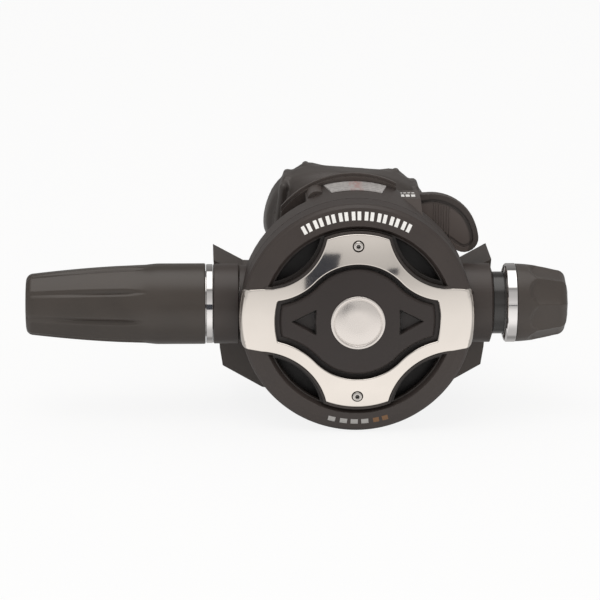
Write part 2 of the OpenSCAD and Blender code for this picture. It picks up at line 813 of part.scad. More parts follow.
module poppet() color([0.85, 0.83, 0.78]) {
    difference() {
        union() {
            disc_x(seal_r + over, orifice_tip + 0.5, orifice_tip + 0.5 + face_t);
            disc_x(poppet_r, orifice_tip + face_t, spring_x);
            disc_x(barrel_in - free, pivot_x + foot_r + 0.3, pivot_x + foot_r + 1.8);
            disc_x(barrel_in - free, spring_x - 2, spring_x);
            disc_x(poppet_r - over, spring_x, pusher_x - over);
        }
        disc_x(seal_r + touch, orifice_tip - over, orifice_tip + seal_t + slip);
    }
}

seal_r = 3.6;                                      // soft seat in the poppet's face
seal_t = 1.5;
face_t = 3.5;                                      // thickness of that face
poppet_r = 3.2;

module poppet_seat() color([0.3, 0.3, 0.32]) {
    disc_x(seal_r, orifice_tip + slip, orifice_tip + slip + seal_t);
}

module poppet_spring() color([0.7, 0.7, 0.72]) {
    helix_x(spring_x + 0.02, pusher_x - 0.02, spring_r, spring_wire, 8);
}

module spring_pusher() color([0.8, 0.66, 0.35]) {
    difference() {
        disc_x(barrel_in - slip, pusher_x, pusher_x + pusher_t);
        disc_x(poppet_r - 0.6, pusher_x - over, pusher_x + pusher_t - 0.6);
        difference() {
            disc_x(barrel_r, pusher_groove, pusher_groove + small_w);
            disc_x(barrel_in - small_d, pusher_x, pusher_x + pusher_t);
        }
    }
}

pusher_groove = pusher_x + 1.5;

module pusher_oring() color([0.1, 0.1, 0.1]) {
    oring_x(pusher_groove + small_w / 2, barrel_in - small_d / 2, small_wire);
}

module adjuster_gland() color([0.16, 0.16, 0.17]) {
    difference() {
        union() {
            disc_x(gland_r, gland_x, gland_end);
            disc_x(barrel_in - touch, plug_x, gland_x + over);
        }
        disc_x(stem_r + slip, pusher_x, gland_end + over);
    }
}

module adjuster_stem() color([0.75, 0.75, 0.76]) {
    difference() {
        union() {
            disc_x(stem_r, pusher_x + pusher_t + touch, core_end - bolt_r);
            disc_x(stem_r + 1.4, pusher_x + pusher_t + touch, plug_x - 0.4);
        }
        disc_x(bolt_r + touch, core_end - 5.5 * bolt_r, core_end);
    }
}

// ------------------------------------------------------------------ knob

module knob_ring() color([0.82, 0.82, 0.83]) {
    spun_x([[gland_r + free, knob_x], [knob_r - 1.9, knob_x], [knob_r - 0.45, knob_x + 0.45],
        [knob_r, knob_x + 1.7], [knob_r, knob_x + knob_ring_len - slip],
        [knob_r - slip, knob_x + knob_ring_len], [gland_r + free, knob_x + knob_ring_len]]);
}

module knob_core() color([0.3, 0.3, 0.31]) {
    difference() {
        disc_x(core_r, core_x, core_end);
        disc_x(stem_r + 0.02, core_x - over, core_end - bolt_r);
        disc_x(bolt_r + 0.15, core_x, core_end + over);
    }
}

module knob_screw() color([0.75, 0.75, 0.76]) {
    disc_x(bolt_head_r, core_end, core_end + bolt_head_t);
    disc_x(bolt_r, core_end - 5 * bolt_r, core_end + slip);
}

grip_root_r = knob_r - 0.15;
grip_side = knob_end - grip_round - 1.2;           // where the grip's side ends
function grip_r(x) = grip_root_r
    - (grip_root_r - grip_tip_r) * pow(max(0, (x - grip_x) / (grip_side - 0.2 - grip_x)), 1.7);

module knob_grip() color([0.16, 0.15, 0.15]) {
    steps = 10;
    difference() {
        spun_x(concat([[gland_r + free, grip_x]],
            [for (i = [0 : steps]) let (x = grip_x + (grip_side - grip_x) * i / steps) [grip_r(x), x]],
            [for (a = [15 : 15 : 75]) [grip_tip_r - grip_round - 0.2 + grip_round * cos(a),
                knob_end - grip_round - 0.6 + grip_round * sin(a)]],
            [[0.7 * grip_tip_r, knob_end - 0.5], [grip_tip_r / 2, knob_end - 0.12], [0, knob_end],
                [0, core_end + bolt_head_t + touch], [bolt_head_r + touch, core_end + bolt_head_t + touch],
                [bolt_head_r + touch, core_end + touch], [core_r + touch, core_end + touch],
                [core_r + touch, core_x - touch], [gland_r + free, core_x - touch]]));
        // hollow flats that run out to the knob's end
        for (i = [0 : knob_flats - 1]) rotate([13 + i * 360 / knob_flats, 0, 0])
            translate([knob_end + over, 0, flat_curve + flat_r]) rotate([0, -86.6, 0])
                cylinder(r = flat_curve, h = 0.64 * knob_len);
    }
}

// ------------------------------------------------------------------ hose end

module inlet_retainer() color([0.14, 0.13, 0.13]) {
    x1 = retainer_x;
    x0 = nut_x + slip;
    spun_x([[barrel_r + touch, x0], [collar_r - 0.25, x0], [collar_r + 0.15, x0 + 0.4],
        [collar_r + 0.15, x1 - 0.3], [collar_r - 0.15, x1], [barrel_r + touch, x1]]);
}

module swivel_nut() color([0.84, 0.84, 0.84]) {
    edge = slip;
    spun_x([[inlet_r + touch, nut_x - touch], [nut_r - edge, nut_x - touch], [nut_r, nut_x - touch - edge],
        [nut_r, nut_x - nut_flange + edge], [nut_r - edge, nut_x - nut_flange],
        [nut_body_r, nut_x - nut_flange], [nut_body_r, nut_end + nut_round],
        [nut_body_r - nut_round, nut_end], [nipple_neck_r + slip, nut_end],
        [nipple_neck_r + slip, nipple_x - nipple_face - slip],
        [inlet_r + touch, nipple_x - nipple_face - slip]]);
}

module hose_nipple() color([0.8, 0.66, 0.35]) {
    difference() {
        union() {
            disc_x(nipple_r, nipple_x, nipple_x + pilot_len);
            disc_x(inlet_r - slip, nipple_x - nipple_face, nipple_x);
            disc_x(nipple_neck_r, nut_end - 3, nipple_x - nipple_face + slip);
            disc_x(barb_r - 0.9, barb_end, nut_end - 2);
            for (i = [0 : 4]) cone_x(barb_r - 1.3, barb_r, barb_end + barb_pitch * i,
                barb_end + barb_pitch * (i + 0.8));
        }
        disc_x(nipple_bore, barb_end - over, nipple_x + pilot_len + over);
        difference() {
            disc_x(nipple_r + over, pilot_groove, pilot_groove + small_w);
            disc_x(nipple_r - small_d, nipple_x, nipple_x + pilot_len + over);
        }
    }
}

pilot_len = 5;
pilot_groove = nipple_x + 1.9;
barb_r = 4.9;
barb_end = nut_end - barb_len;
nipple_bore = 2.4;

module nipple_oring() color([0.1, 0.1, 0.1]) {
    oring_x(pilot_groove + small_w / 2, nipple_r - small_d / 2, small_wire);
}

flute_r = 1.1;                                     // the sleeve's grooves
flute_lean = 4.6;
sleeve_flank = sleeve_r - 0.4;
taper_len = sleeve_waist - sleeve_end - sleeve_round;
function sleeve_taper(x) = sleeve_flank
    - (sleeve_flank - sleeve_tip_r) * pow((sleeve_waist - x) / taper_len, 1.6);

module hose_sleeve() color([0.16, 0.15, 0.15]) {
    steps = 12;
    bore_end = sleeve_end + 3.2 * hose_r;          // inner end of the hose bore
    relief = hose_r + 0.5;
    difference() {
        spun_x(concat([[hose_r, sleeve_end + 0.6], [hose_r + 0.6, sleeve_end]],
            [for (a = [75 : -15 : 15]) [sleeve_tip_r - sleeve_round + sleeve_round * cos(a),
                sleeve_end + sleeve_round - sleeve_round * sin(a)]],
            [for (i = [steps : -1 : 0])
                let (x = sleeve_waist - taper_len * i / steps)
                [sleeve_taper(x), x]],
            [[sleeve_r - 0.26, sleeve_waist + sleeve_round], [sleeve_r, sleeve_waist + 2.2 * sleeve_round],
                [sleeve_r, sleeve_x - 0.4], [sleeve_r - 0.4, sleeve_x], [nut_body_r + slip, sleeve_x],
                [nut_body_r + slip, nut_end - 1], [relief, nut_end - 2 * sleeve_round], [relief, bore_end],
                [hose_r, bore_end]]));
        // shallow grooves that fade out towards the case
        for (i = [0 : 7]) rotate([12 + 45 * i, 0, 0])
            translate([sleeve_end - flute_r, 0, 0]) rotate([0, 0, -flute_lean])
                translate([0, -sleeve_tip_r - 0.8 * flute_r, 0]) disc_x(flute_r, 0, 0.86 * sleeve_len);
    }
}

// ------------------------------------------------------------------ dive lever

root_out = 9.3;
root_x = lever_x + root_out;                       // where the ear leaves the hub's arm
step_w = 3.4;                                      // the upright thumb step
step_h = 8.6;

module ear_outline(g) {
    polygon(concat(arc(ear_cx, ear_cz, ear_big_r + g, 106, 9, 16),
        arc(lever_x + lever_reach - ear_small_r, ear_cz + 0.9, ear_small_r + g, 6, -118, 8),
        [[root_x + 3.7 - g, ear_cz + 2 - g], [root_x - g, ear_cz + 6]]));
}

module dive_lever() color([0.14, 0.13, 0.13]) {
    difference() {
        union() {
            slab_y(ear_y, ear_y + ear_t) ear_outline(0);
            translate([lever_x, spindle_y, boss_top + free]) cylinder(r = hub_r, h = hub_len);
            translate([lever_x, ear_y, boss_top + free]) cube([root_x - lever_x + 2.7, ear_t, hub_len]);
            translate([root_x, ear_y - 0.5, ear_cz + 7]) cube([step_w, ear_t, step_h]);
        }
        slab_y(ear_y - over, ear_y + 0.6) ear_outline(-ear_rim);
        translate([lever_x, spindle_y, 0]) cylinder(r = spindle_r + 0.02, h = boss_top + 2 * hub_len);
    }
    slab_y(ear_y + 0.2, ear_y + ear_t) ear_outline(-1.5 * ear_rim);
}

module dive_spindle() color([0.7, 0.7, 0.7]) {
    translate([lever_x, spindle_y, mouth_z - spindle_in])
        cylinder(r = spindle_r, h = boss_top + free + hub_len - mouth_z + spindle_in);
    translate([lever_x - vane_t / 2, spindle_y, mouth_z - vane_z]) cube([vane_t, vane_len, 2 * vane_z]);
}

module spindle_oring() color([0.1, 0.1, 0.1]) {
    translate([lever_x, spindle_y, boss_top - 0.85]) rotate_extrude() translate([spindle_r + 0.5, 0])
        circle(0.42, $fn = 24);
}

// ------------------------------------------------------------------ exhaust

module exhaust_valve() color([0.2, 0.2, 0.22]) {
    translate([0, 0, -exhaust_z]) {
        disc_y(exhaust_r + 0.25, case_back + 0.02, case_back + valve_t);
        disc_y(valve_stem_r, chamber_back - valve_stem_r, case_back + 0.5);
        translate([0, chamber_back - valve_stem_r, 0]) rotate([90, 0, 0])
            cylinder(r1 = valve_stem_r, r2 = valve_stem_r + 0.75, h = 1);
    }
}

wing_top = 0.289 * case_r;                         // height of the tips of the tee's wings
tee_bottom = -0.96 * case_r;

// the tee's outline from the front, drawn in by w; the wings' ends stay open
module tee_outline(w) {
    tip = w == 0 ? tee_half : tee_half + 2 * tee_wall;
    shelf = tee_top + 0.119 * case_r;
    side = [[0.46 * case_r, tee_top - w], [0.66 * tee_half, shelf - w], [0.78 * tee_half, shelf - w],
        [tip, wing_top + (w == 0 ? 0 : 1.2 - w)], [w == 0 ? 0.955 * tee_half : tip, 0.526 * tee_bottom],
        [0.934 * tee_half - 0.4 * w, 0.697 * tee_bottom + w],
        [0.649 * tee_half - 0.3 * w, 0.905 * tee_bottom + w],
        [0.309 * tee_half, 0.984 * tee_bottom + w]];
    polygon(concat(side, [[0, tee_bottom + w]],
        [for (i = [len(side) - 1 : -1 : 0]) [-side[i][0], side[i][1]]]));
}

// the tee's outline from above, drawn in by w
module tee_plan(w) {
    back = tee_front + tee_depth - w;
    wide = tee_half + 2 * tee_wall;
    polygon([[-wide, back + 2.6], [-0.574 * tee_half, back - 0.8], [-0.309 * tee_half, back - 4],
        [0.309 * tee_half, back - 4], [0.574 * tee_half, back - 0.8], [wide, back + 2.6],
        [wide, tee_front + w], [-wide, tee_front + w]]);
}

// the tee's outline from the side, drawn in by w: the underside rises towards the back
module tee_side(w) {
    back = tee_front + 1.24 * tee_depth;
    low = tee_bottom - 1.5 + 1.4 * w;
    polygon([[tee_front, case_r], [back, case_r], [back, 0.447 * tee_bottom + w],
        [tee_front + 0.429 * tee_depth, low], [tee_front, low]]);
}

module tee_body(w) {
    intersection() {
        slab_y(tee_front, tee_front + 2 * tee_depth) tee_outline(w);
        slab_z(-2 * case_r, case_r) tee_plan(w);
        slab_x(-2 * tee_half, 2 * tee_half) tee_side(w);
    }
}

module exhaust_tee() color([0.15, 0.14, 0.14]) {
    difference() {
        tee_body(0);
        tee_body(tee_wall);
        translate([0, 0, -exhaust_z]) disc_y(exhaust_lip + touch, 0, tee_front + lip_rise);
    }
}

// ------------------------------------------------------------------ mouthpiece

// an oval ring of points: flat half c, side radius r, e = 1 makes it an ellipse
// the shield is turned a little on the tube
function oval(y, c, r, e, bow) = [for (i = [0 : 31])
    let (right = i < 16, a = -90 + (i % 16 + 0.5) * 180 / 16 + (right ? 0 : 180),
        x = (right ? 1 : -1) * c * (1 - e) + (r + c * e) * cos(a), z = r * sin(a),
        t = mouth_roll * max(0, min(1, (y - mouth_y) / shield_gap)))
    [x * cos(t) + z * sin(t), y + bow * x * x, mouth_z + z * cos(t) - x * sin(t)]];

module mouth_shell() {
    c = mouth_flat;
    r0 = mouth_r + 3 * touch;
    r1 = mouth_r + rubber;
    inner = mouth_r - 0.88 * rubber;
    lip = shield_gap / 10;
    sc = shield_w - shield_h;
    bow = 0.22 / case_r;
    ring_skin([
        oval(groove_y - 4.4 * lip, c, r0, 0, 0), oval(groove_y - 4.4 * lip, c, r1 - 0.2 * rubber, 0, 0),
        oval(groove_y - 3.9 * lip, c, r1, 0, 0), oval(groove_y - 0.4, c, r1, 0, 0),
        oval(groove_y, c, r1 - strap_in, 0, 0), oval(groove_y + strap_w + 0.2, c, r1 - strap_in, 0, 0),
        oval(groove_y + strap_w + 0.6, c, r1, 0, 0), oval(shield_y - 3.9 * lip, c, r1 + 0.2, 0, 0),
        oval(shield_y - 1.1 * lip, 1.23 * c, r1 + 1.4 * lip, 0.2, bow / 2),
        oval(shield_y + 0.9 * lip, sc * 0.85, shield_h - 2.3 * lip, 0.5, bow),
        oval(shield_y + 2 * lip, sc, shield_h - 1.1 * lip, 0.8, bow),
        oval(shield_y + 4 * lip, sc, shield_h - 0.5 * lip, 0.7, bow),
        oval(shield_y + skirt, sc, shield_h, 0.35, bow),
        oval(shield_y + skirt + lip, sc, shield_h - 0.8 * lip, 0.35, bow),
        oval(shield_y + skirt + 0.5 * lip, sc, shield_h - 2.4 * lip, 0.35, bow),
        oval(shield_y + 5 * lip, sc, shield_h - 2.9 * lip, 0.6, bow),
        oval(shield_y + 3.8 * lip, 1.33 * c, mouth_r, 0.2, bow),
        oval(shield_y + 3.6 * lip, c, inner + 0.2, 0, bow / 2), oval(shield_y - 3.3 * lip, c, inner, 0, 0),
        oval(mouth_y + 1.1 * lip, c, inner, 0, 0), oval(mouth_y + touch, c, mouth_r - tube_wall, 0, 0),
        oval(mouth_y + touch, c, r0, 0, 0)]);
}

// a rounded sheet of half thickness t; its corners are [across, back, up] in shares of the
// shield's half width, the wing's length and the shield's half height
module soft_sheet(t, corners) {
    hull() for (p = corners)
        translate([p[0] * shield_w, p[1] * bite_len, p[2] * shield_h]) sphere(t, $fn = 16);
}

// a bite wing on the +X side: a flap behind the teeth, a plate between them, a flap in front
// of them and an end lug
module bite_wing() {
    t = 0.6 * rubber;
    soft_sheet(t, [[0.34, 0, -0.57], [0.4, 0, 0.75], [0.52, 0.6, 0.9], [0.43, 0.905, 0.52],
        [0.41, 0.905, -0.34], [0.375, 0.667, -0.63]]);
    soft_sheet(t, [[0.375, 0, 0], [0.8, 0.048, 0], [0.41, 0.905, 0], [0.683, 0.905, 0]]);
    soft_sheet(t, [[0.77, 0, 0.575], [0.8, 0, -0.517], [0.725, 0.571, 0.71], [0.72, 0.714, 0.172],
        [0.73, 0.619, -0.46]]);
    soft_sheet(t, [[0.41, 0.905, -0.316], [0.41, 0.905, 0.374], [0.666, 0.881, 0.287],
        [0.666, 0.881, -0.23]]);
}

module mouthpiece() color([0.17, 0.16, 0.16]) {
    mouth_shell();
    translate([0, shield_y + 0.33 * shield_gap, mouth_z]) rotate([0, mouth_roll, 0]) both_x() bite_wing();
}

module mouthpiece_strap() color([0.12, 0.12, 0.12]) {
    ri = mouth_r + rubber - strap_in + touch;
    head_w = 1.45 * strap_w;
    difference() {
        union() {
            slab_y(groove_y + 0.2, groove_y + strap_w) mouth_oval(ri + strap_t);
            translate([-head_w / 2, groove_y - 0.2, mouth_z + mouth_r + rubber + touch])
                cube([head_w, strap_w + 0.8, 2.2 * strap_t]);
        }
        slab_y(groove_y - over, groove_y + strap_w + over) mouth_oval(ri);
    }
}

// ------------------------------------------------------------------ nodes

case_body();
cover_ring();
cover_plate();
cover_screws();
purge_button();
button_badge();
slip_ring();
diaphragm();
diaphragm_disc();
demand_lever();
air_barrel();
barrel_orings();
orifice();
orifice_oring();
poppet();
poppet_seat();
poppet_spring();
spring_pusher();
pusher_oring();
adjuster_gland();
adjuster_stem();
knob_ring();
knob_core();
knob_grip();
knob_screw();
inlet_retainer();
swivel_nut();
hose_nipple();
nipple_oring();
hose_sleeve();
label_strip();
dive_lever();
dive_spindle();
spindle_oring();
exhaust_valve();
exhaust_tee();
mouthpiece();
mouthpiece_strap();
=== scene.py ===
"""Scuba regulator second stage: materials, skins, soft pieces, marks, light and camera round the CAD frame."""
import json
import math

import bmesh
import bpy
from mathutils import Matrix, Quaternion, Vector


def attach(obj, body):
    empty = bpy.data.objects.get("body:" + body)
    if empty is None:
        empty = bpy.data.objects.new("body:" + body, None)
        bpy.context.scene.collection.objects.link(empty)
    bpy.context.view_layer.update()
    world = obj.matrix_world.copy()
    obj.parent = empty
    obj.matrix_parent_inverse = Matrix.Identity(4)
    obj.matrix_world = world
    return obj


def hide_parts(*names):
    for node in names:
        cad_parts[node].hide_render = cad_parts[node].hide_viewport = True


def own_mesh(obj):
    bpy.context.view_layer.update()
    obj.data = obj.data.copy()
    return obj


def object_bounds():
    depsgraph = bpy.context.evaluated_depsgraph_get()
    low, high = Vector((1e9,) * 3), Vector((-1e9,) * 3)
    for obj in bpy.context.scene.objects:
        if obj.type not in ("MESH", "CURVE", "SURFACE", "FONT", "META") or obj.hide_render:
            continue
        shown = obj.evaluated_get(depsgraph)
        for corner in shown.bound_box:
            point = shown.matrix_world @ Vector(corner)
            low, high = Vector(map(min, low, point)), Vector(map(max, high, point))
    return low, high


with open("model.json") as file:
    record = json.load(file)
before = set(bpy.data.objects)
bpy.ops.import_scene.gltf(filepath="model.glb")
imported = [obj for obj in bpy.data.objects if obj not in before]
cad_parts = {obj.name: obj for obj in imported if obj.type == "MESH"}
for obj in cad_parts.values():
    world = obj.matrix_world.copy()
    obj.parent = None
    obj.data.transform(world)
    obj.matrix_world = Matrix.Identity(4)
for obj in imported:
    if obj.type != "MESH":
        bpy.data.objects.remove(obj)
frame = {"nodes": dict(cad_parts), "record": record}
cad_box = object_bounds()
nodes = frame["nodes"]
MM = 0.001

# ---------------------------------------------------------------- camera

scene = bpy.context.scene
scene.view_settings.view_transform = "Standard"

# place, aim, roll and angle were fitted to the photo
camera = bpy.data.objects.new("camera", bpy.data.cameras.new("camera"))
scene.collection.objects.link(camera)
camera.location = (-0.051793, -1.090109, 0.272990)
aim = Vector((-0.018268, -0.023311, 0.006876)) - camera.location
roll = Quaternion((0, 0, 1), math.radians(0.22))
camera.rotation_euler = (aim.to_track_quat("-Z", "Y") @ roll).to_euler()
camera.data.sensor_fit = "HORIZONTAL"
camera.data.angle = math.radians(9.819)
camera.data.clip_start = 0.01
scene.camera = camera

# ---------------------------------------------------------------- node trees


class Graph:
    """Short calls for building a node tree."""

    def __init__(self, tree, clear=True):
        self.tree = tree
        if clear:
            tree.nodes.clear()

    def node(self, kind, **settings):
        n = self.tree.nodes.new(kind)
        for key, value in settings.items():
            setattr(n, key, value)
        return n

    def put(self, socket, value):
        if isinstance(value, bpy.types.NodeSocket):
            self.tree.links.new(value, socket)
        else:
            socket.default_value = value

    def fill(self, n, *values):
        """The node, with its first inputs set in turn."""
        for socket, v in zip(n.inputs, values):
            self.put(socket, v)
        return n

    def math(self, operation, *values):
        return self.fill(self.node("ShaderNodeMath", operation=operation), *values).outputs[0]

    def length(self, a, b):
        return self.math("SQRT", self.math("ADD", self.math("MULTIPLY", a, a), self.math("MULTIPLY", b, b)))

    def dot(self, a, b):
        return self.fill(self.node("ShaderNodeVectorMath", operation="DOT_PRODUCT"), a, b).outputs["Value"]

    def step(self, value, low, high, out_low=0.0, out_high=1.0):
        """value mapped smoothly from low..high to out_low..out_high, clamped."""
        n = self.node("ShaderNodeMapRange", interpolation_type="SMOOTHSTEP")
        return self.fill(n, value, low, high, out_low, out_high).outputs[0]

    def band(self, value, low, high, soft):
        """1 where value lies between low and high, falling to 0 over soft on both sides."""
        return self.math("MULTIPLY", self.step(value, low - soft, low), self.step(value, high, high + soft, 1, 0))

    def mix(self, factor, a, b, kind="RGBA"):
        """Colour or vector a, with the share factor of b."""
        first, out = {"RGBA": (6, 2), "VECTOR": (4, 1)}[kind]
        n = self.node("ShaderNodeMix", data_type=kind)
        for i, v in ((0, factor), (first, a), (first + 1, b)):
            self.put(n.inputs[i], v)
        return n.outputs[out]

    def choose(self, share, a, b):
        """Shader a, with the given share of shader b."""
        return self.fill(self.node("ShaderNodeMixShader"), share, a, b).outputs[0]

    def noise(self, vector, scale, detail=2.0, roughness=0.5):
        n = self.node("ShaderNodeTexNoise")
        for name, v in (("Vector", vector), ("Scale", scale), ("Detail", detail), ("Roughness", roughness)):
            self.put(n.inputs[name], v)
        return n.outputs["Fac"]

    def stretch(self, vector, scale):
        n = self.node("ShaderNodeMapping")
        self.put(n.inputs["Vector"], vector)
        self.put(n.inputs["Scale"], scale)
        return n.outputs[0]

    def parts(self, vector):
        return self.fill(self.node("ShaderNodeSeparateXYZ"), vector).outputs

    def vector(self, x, y, z=0.0):
        return self.fill(self.node("ShaderNodeCombineXYZ"), x, y, z).outputs[0]

    def place(self):
        """The point's coordinates, and the same as one vector."""
        at = self.node("ShaderNodeTexCoord").outputs["Object"]
        return (*self.parts(at), at)


# ---------------------------------------------------------------- light and floor

# brightness of the light tent that reflections see, by height above the horizon in degrees
TENT = [(-90, 0.55), (-70, 0.6), (-50, 0.98), (-37, 1.08), (-25, 1.03), (-13, 0.96), (-7, 0.84), (-2, 0.66),
        (3, 0.56), (8, 0.62), (13, 0.76), (20, 0.66), (30, 0.56), (43, 0.52), (50, 0.4), (55, 0.24),
        (60, 1.4), (75, 1.9), (90, 1.9)]
# the brightness that the ramp's white stands for, and the share of it that the tent's back keeps
TENT_TOP, TENT_BEHIND = 2.0, 0.45
# the light's slightly warm colours: as diffuse light, in reflections, from the lamps
SKY_TONE, TENT_TONE, LAMP_TONE = (1.0, 0.985, 0.965, 1), (1, 0.985, 0.97, 1), (1.0, 0.985, 0.96)
SKY_POWER = 0.72
# the floor: half its width and its gap under the part in metres, its glow to the camera, its colour
FLOOR_HALF, FLOOR_GAP, FLOOR_GLOW, FLOOR_TONE = 12.0, 0.0002, 0.86, (0.9, 0.9, 0.9, 1)
# the dark cards: their y in mm and their colour
CARD_Y, CARD_TONE = -330, (0.07, 0.075, 0.09, 1)


def studio_world():
    """White to the camera, even for diffuse light; reflections see the light tent."""
    world = bpy.data.worlds.new("studio")
    scene.world = world
    world.use_nodes = True
    g = Graph(world.node_tree)
    _, y, z = g.parts(g.node("ShaderNodeTexCoord").outputs["Generated"])
    ramp = g.node("ShaderNodeValToRGB")
    g.put(ramp.inputs[0], g.math("MULTIPLY_ADD", z, 0.5, 0.5))
    elements = ramp.color_ramp.elements
    while len(elements) < len(TENT):
        elements.new(0.5)
    for e, (height, v) in zip(elements, TENT):
        e.position = (1 + math.sin(math.radians(height))) / 2
        e.color = (v / TENT_TOP, v / TENT_TOP, v / TENT_TOP, 1)
    # the tent's back is dimmer, all but its top
    behind = g.math("MULTIPLY", g.step(y, 0.0, 0.4), g.step(z, 0.75, 0.9, 1.0, 0.0))
    tone = g.math("MULTIPLY", ramp.outputs[0], g.step(behind, 0.0, 1.0, TENT_TOP, TENT_BEHIND * TENT_TOP))
    path = g.node("ShaderNodeLightPath")

    def backdrop(colour, strength):
        return g.fill(g.node("ShaderNodeBackground"), colour, strength).outputs[0]

    lit = g.choose(path.outputs["Is Glossy Ray"], backdrop(SKY_TONE, SKY_POWER), backdrop(TENT_TONE, tone))
    g.put(g.node("ShaderNodeOutputWorld").inputs[0],
          g.choose(path.outputs["Is Camera Ray"], lit, backdrop((1, 1, 1, 1), 1.0)))


def stage_sheet(name, corners, camera_glow, colour):
    """A flat sheet that isn't part of the object; the camera sees the share camera_glow of it as plain white."""
    mesh = bpy.data.meshes.new(name)
    mesh.from_pydata(corners, [], [(0, 1, 2, 3)])
    sheet = bpy.data.objects.new(name, mesh)
    scene.collection.objects.link(sheet)
    mat = bpy.data.materials.new(name)
    mat.use_nodes = True
    g = Graph(mat.node_tree)
    lit = g.fill(g.node("ShaderNodeBsdfDiffuse"), colour).outputs[0]
    share = g.math("MULTIPLY", g.node("ShaderNodeLightPath").outputs["Is Camera Ray"], camera_glow)
    white = g.node("ShaderNodeEmission").outputs[0]
    g.put(g.node("ShaderNodeOutputMaterial").inputs[0], g.choose(share, lit, white))
    mesh.materials.append(mat)
    return sheet


def studio_floor(height):
    corners = [(x * FLOOR_HALF, y * FLOOR_HALF, height) for x, y in ((-1, -1), (1, -1), (1, 1), (-1, 1))]
    stage_sheet("floor", corners, FLOOR_GLOW, FLOOR_TONE).visible_glossy = False


def dark_card(name, corners):
    """A small dark card in front, which only reflections see; corners are (x, z) in mm."""
    card = stage_sheet(name, [(x * MM, CARD_Y * MM, z * MM) for x, z in corners], 0.0, CARD_TONE)
    card.visible_camera = card.visible_diffuse = card.visible_shadow = False


def softbox(name, place, size, power):
    lamp = bpy.data.lights.new(name, "AREA")
    lamp.shape = "RECTANGLE"
    lamp.size, lamp.size_y = size
    lamp.energy = power
    lamp.color = LAMP_TONE
    o = bpy.data.objects.new(name, lamp)
    scene.collection.objects.link(o)
    o.location = place
    o.rotation_euler = (Vector((0, 0, 0)) - o.location).to_track_quat("-Z", "Y").to_euler()
    o.visible_glossy = False


studio_world()
studio_floor(cad_box[0][2] - FLOOR_GAP)
dark_card("photographer", [(-95, -20), (-40, -20), (-21, 67), (-95, 67)])
dark_card("stand", [(75, 22), (98, 22), (98, 36), (75, 36)])
softbox("top_light", (-0.25, -0.35, 1.0), (0.9, 0.7), 3.2)
softbox("front_light", (0.5, -1.1, 0.35), (0.6, 0.6), 2.2)

# ---------------------------------------------------------------- materials

# sizes in mm that finishes and shapes share: the case, the plate's round part, the dive lever's ear, and
# the inner side, outer point and half height of the button's finger recesses
CASE_R, PLATE_R = 37.0, 28.2
EAR_X, EAR_Z, EAR_R = 25.5, 16.6, 15.6
DENT_IN, DENT_OUT, DENT_HALF = 13.2, 20.9, 4.2
# a normal this many degrees off the true round belongs to one of its facets, or no longer does
FACET_NEAR, FACET_FAR = 2.6, 4.0


def surface(name, colour, rough, *, metal=0.0, tint=0.08, grain=(2600, 0.12, 0.03), streaks=None,
            bevel=0.25, worn=0.0, worn_colour=(0.14, 0.13, 0.12, 1), coat=0.0, sheen=0.0, specular=0.5,
            corner_shade=0.0, zone=None, turned=False):
    """A procedural finish: mottled colour, uneven roughness, grain and rounded, slightly worn edges, with painted
    shade in narrow corners. grain is (scale per metre, strength, depth in mm); streaks stretches it along an axis;
    cavity is how strongly painted shade, taken from ambient occlusion, darkens narrow corners; zone(graph) gives
    (share, colour) for one region of the piece, a painted light or painted shade; turned shades facets as the round
    that they stand for."""
    mat = bpy.data.materials.new(name)
    mat.use_nodes = True
    g = Graph(mat.node_tree)
    shader = g.node("ShaderNodeBsdfPrincipled")
    *_, at = g.place()
    cloud = g.noise(at, 70, 3)
    fine = g.noise(g.stretch(at, streaks) if streaks else at, grain[0], 3, 0.6)
    dark = tuple(c * (1 - tint) for c in colour) + (1,)
    light = tuple(min(1, c * (1 + tint)) for c in colour) + (1,)
    tone = g.mix(g.step(cloud, 0.3, 0.7), dark, light)
    round_edge = g.node("ShaderNodeBevel", samples=4)
    g.put(round_edge.inputs["Radius"], bevel * MM)
    normal = round_edge.outputs[0]
    if worn:
        edge = g.step(g.dot(normal, g.node("ShaderNodeNewGeometry").outputs["Normal"]), 0.99, 0.86)
        patchy = g.step(g.noise(at, 420, 4, 0.65), 0.42, 0.62)
        tone = g.mix(g.math("MULTIPLY", g.math("MULTIPLY", edge, patchy), worn), tone, worn_colour)
    # painted light or painted shade, laid over one region of the piece
    if zone:
        share, shade = zone(g)
        tone = g.mix(share, tone, shade)
    # painted shade: ambient occlusion darkens the colour in narrow corners, creases and recesses, where shade falls
    if corner_shade:
        corner_occlusion = g.node("ShaderNodeAmbientOcclusion", samples=6)
        g.put(corner_occlusion.inputs["Distance"], 2.5 * MM)
        shade_share = g.step(corner_occlusion.outputs["AO"], 0.25, 0.85, corner_shade, 0.0)
        tone = g.mix(shade_share, tone, tuple(c * 0.12 for c in colour) + (1,))
    g.put(shader.inputs["Base Color"], tone)
    uneven = g.math("ADD", g.math("MULTIPLY", cloud, 0.5), g.math("MULTIPLY", fine, 0.5))
    g.put(shader.inputs["Roughness"], g.step(uneven, 0.3, 0.7, rough * 0.87, min(1.0, rough * 1.15)))
    for socket, v in (("Metallic", metal), ("Specular IOR Level", specular), ("Coat Weight", coat),
                      ("Coat Roughness", 0.12), ("Sheen Weight", sheen)):
        shader.inputs[socket].default_value = v
    bump = g.node("ShaderNodeBump")
    for socket, v in (("Strength", grain[1]), ("Distance", grain[2] * MM), ("Height", fine),
                      ("Normal", true_round(g, normal) if turned else normal)):
        g.put(bump.inputs[socket], v)
    g.put(shader.inputs["Normal"], bump.outputs[0])
    g.put(g.node("ShaderNodeOutputMaterial").inputs[0], shader.outputs[0])
    return mat


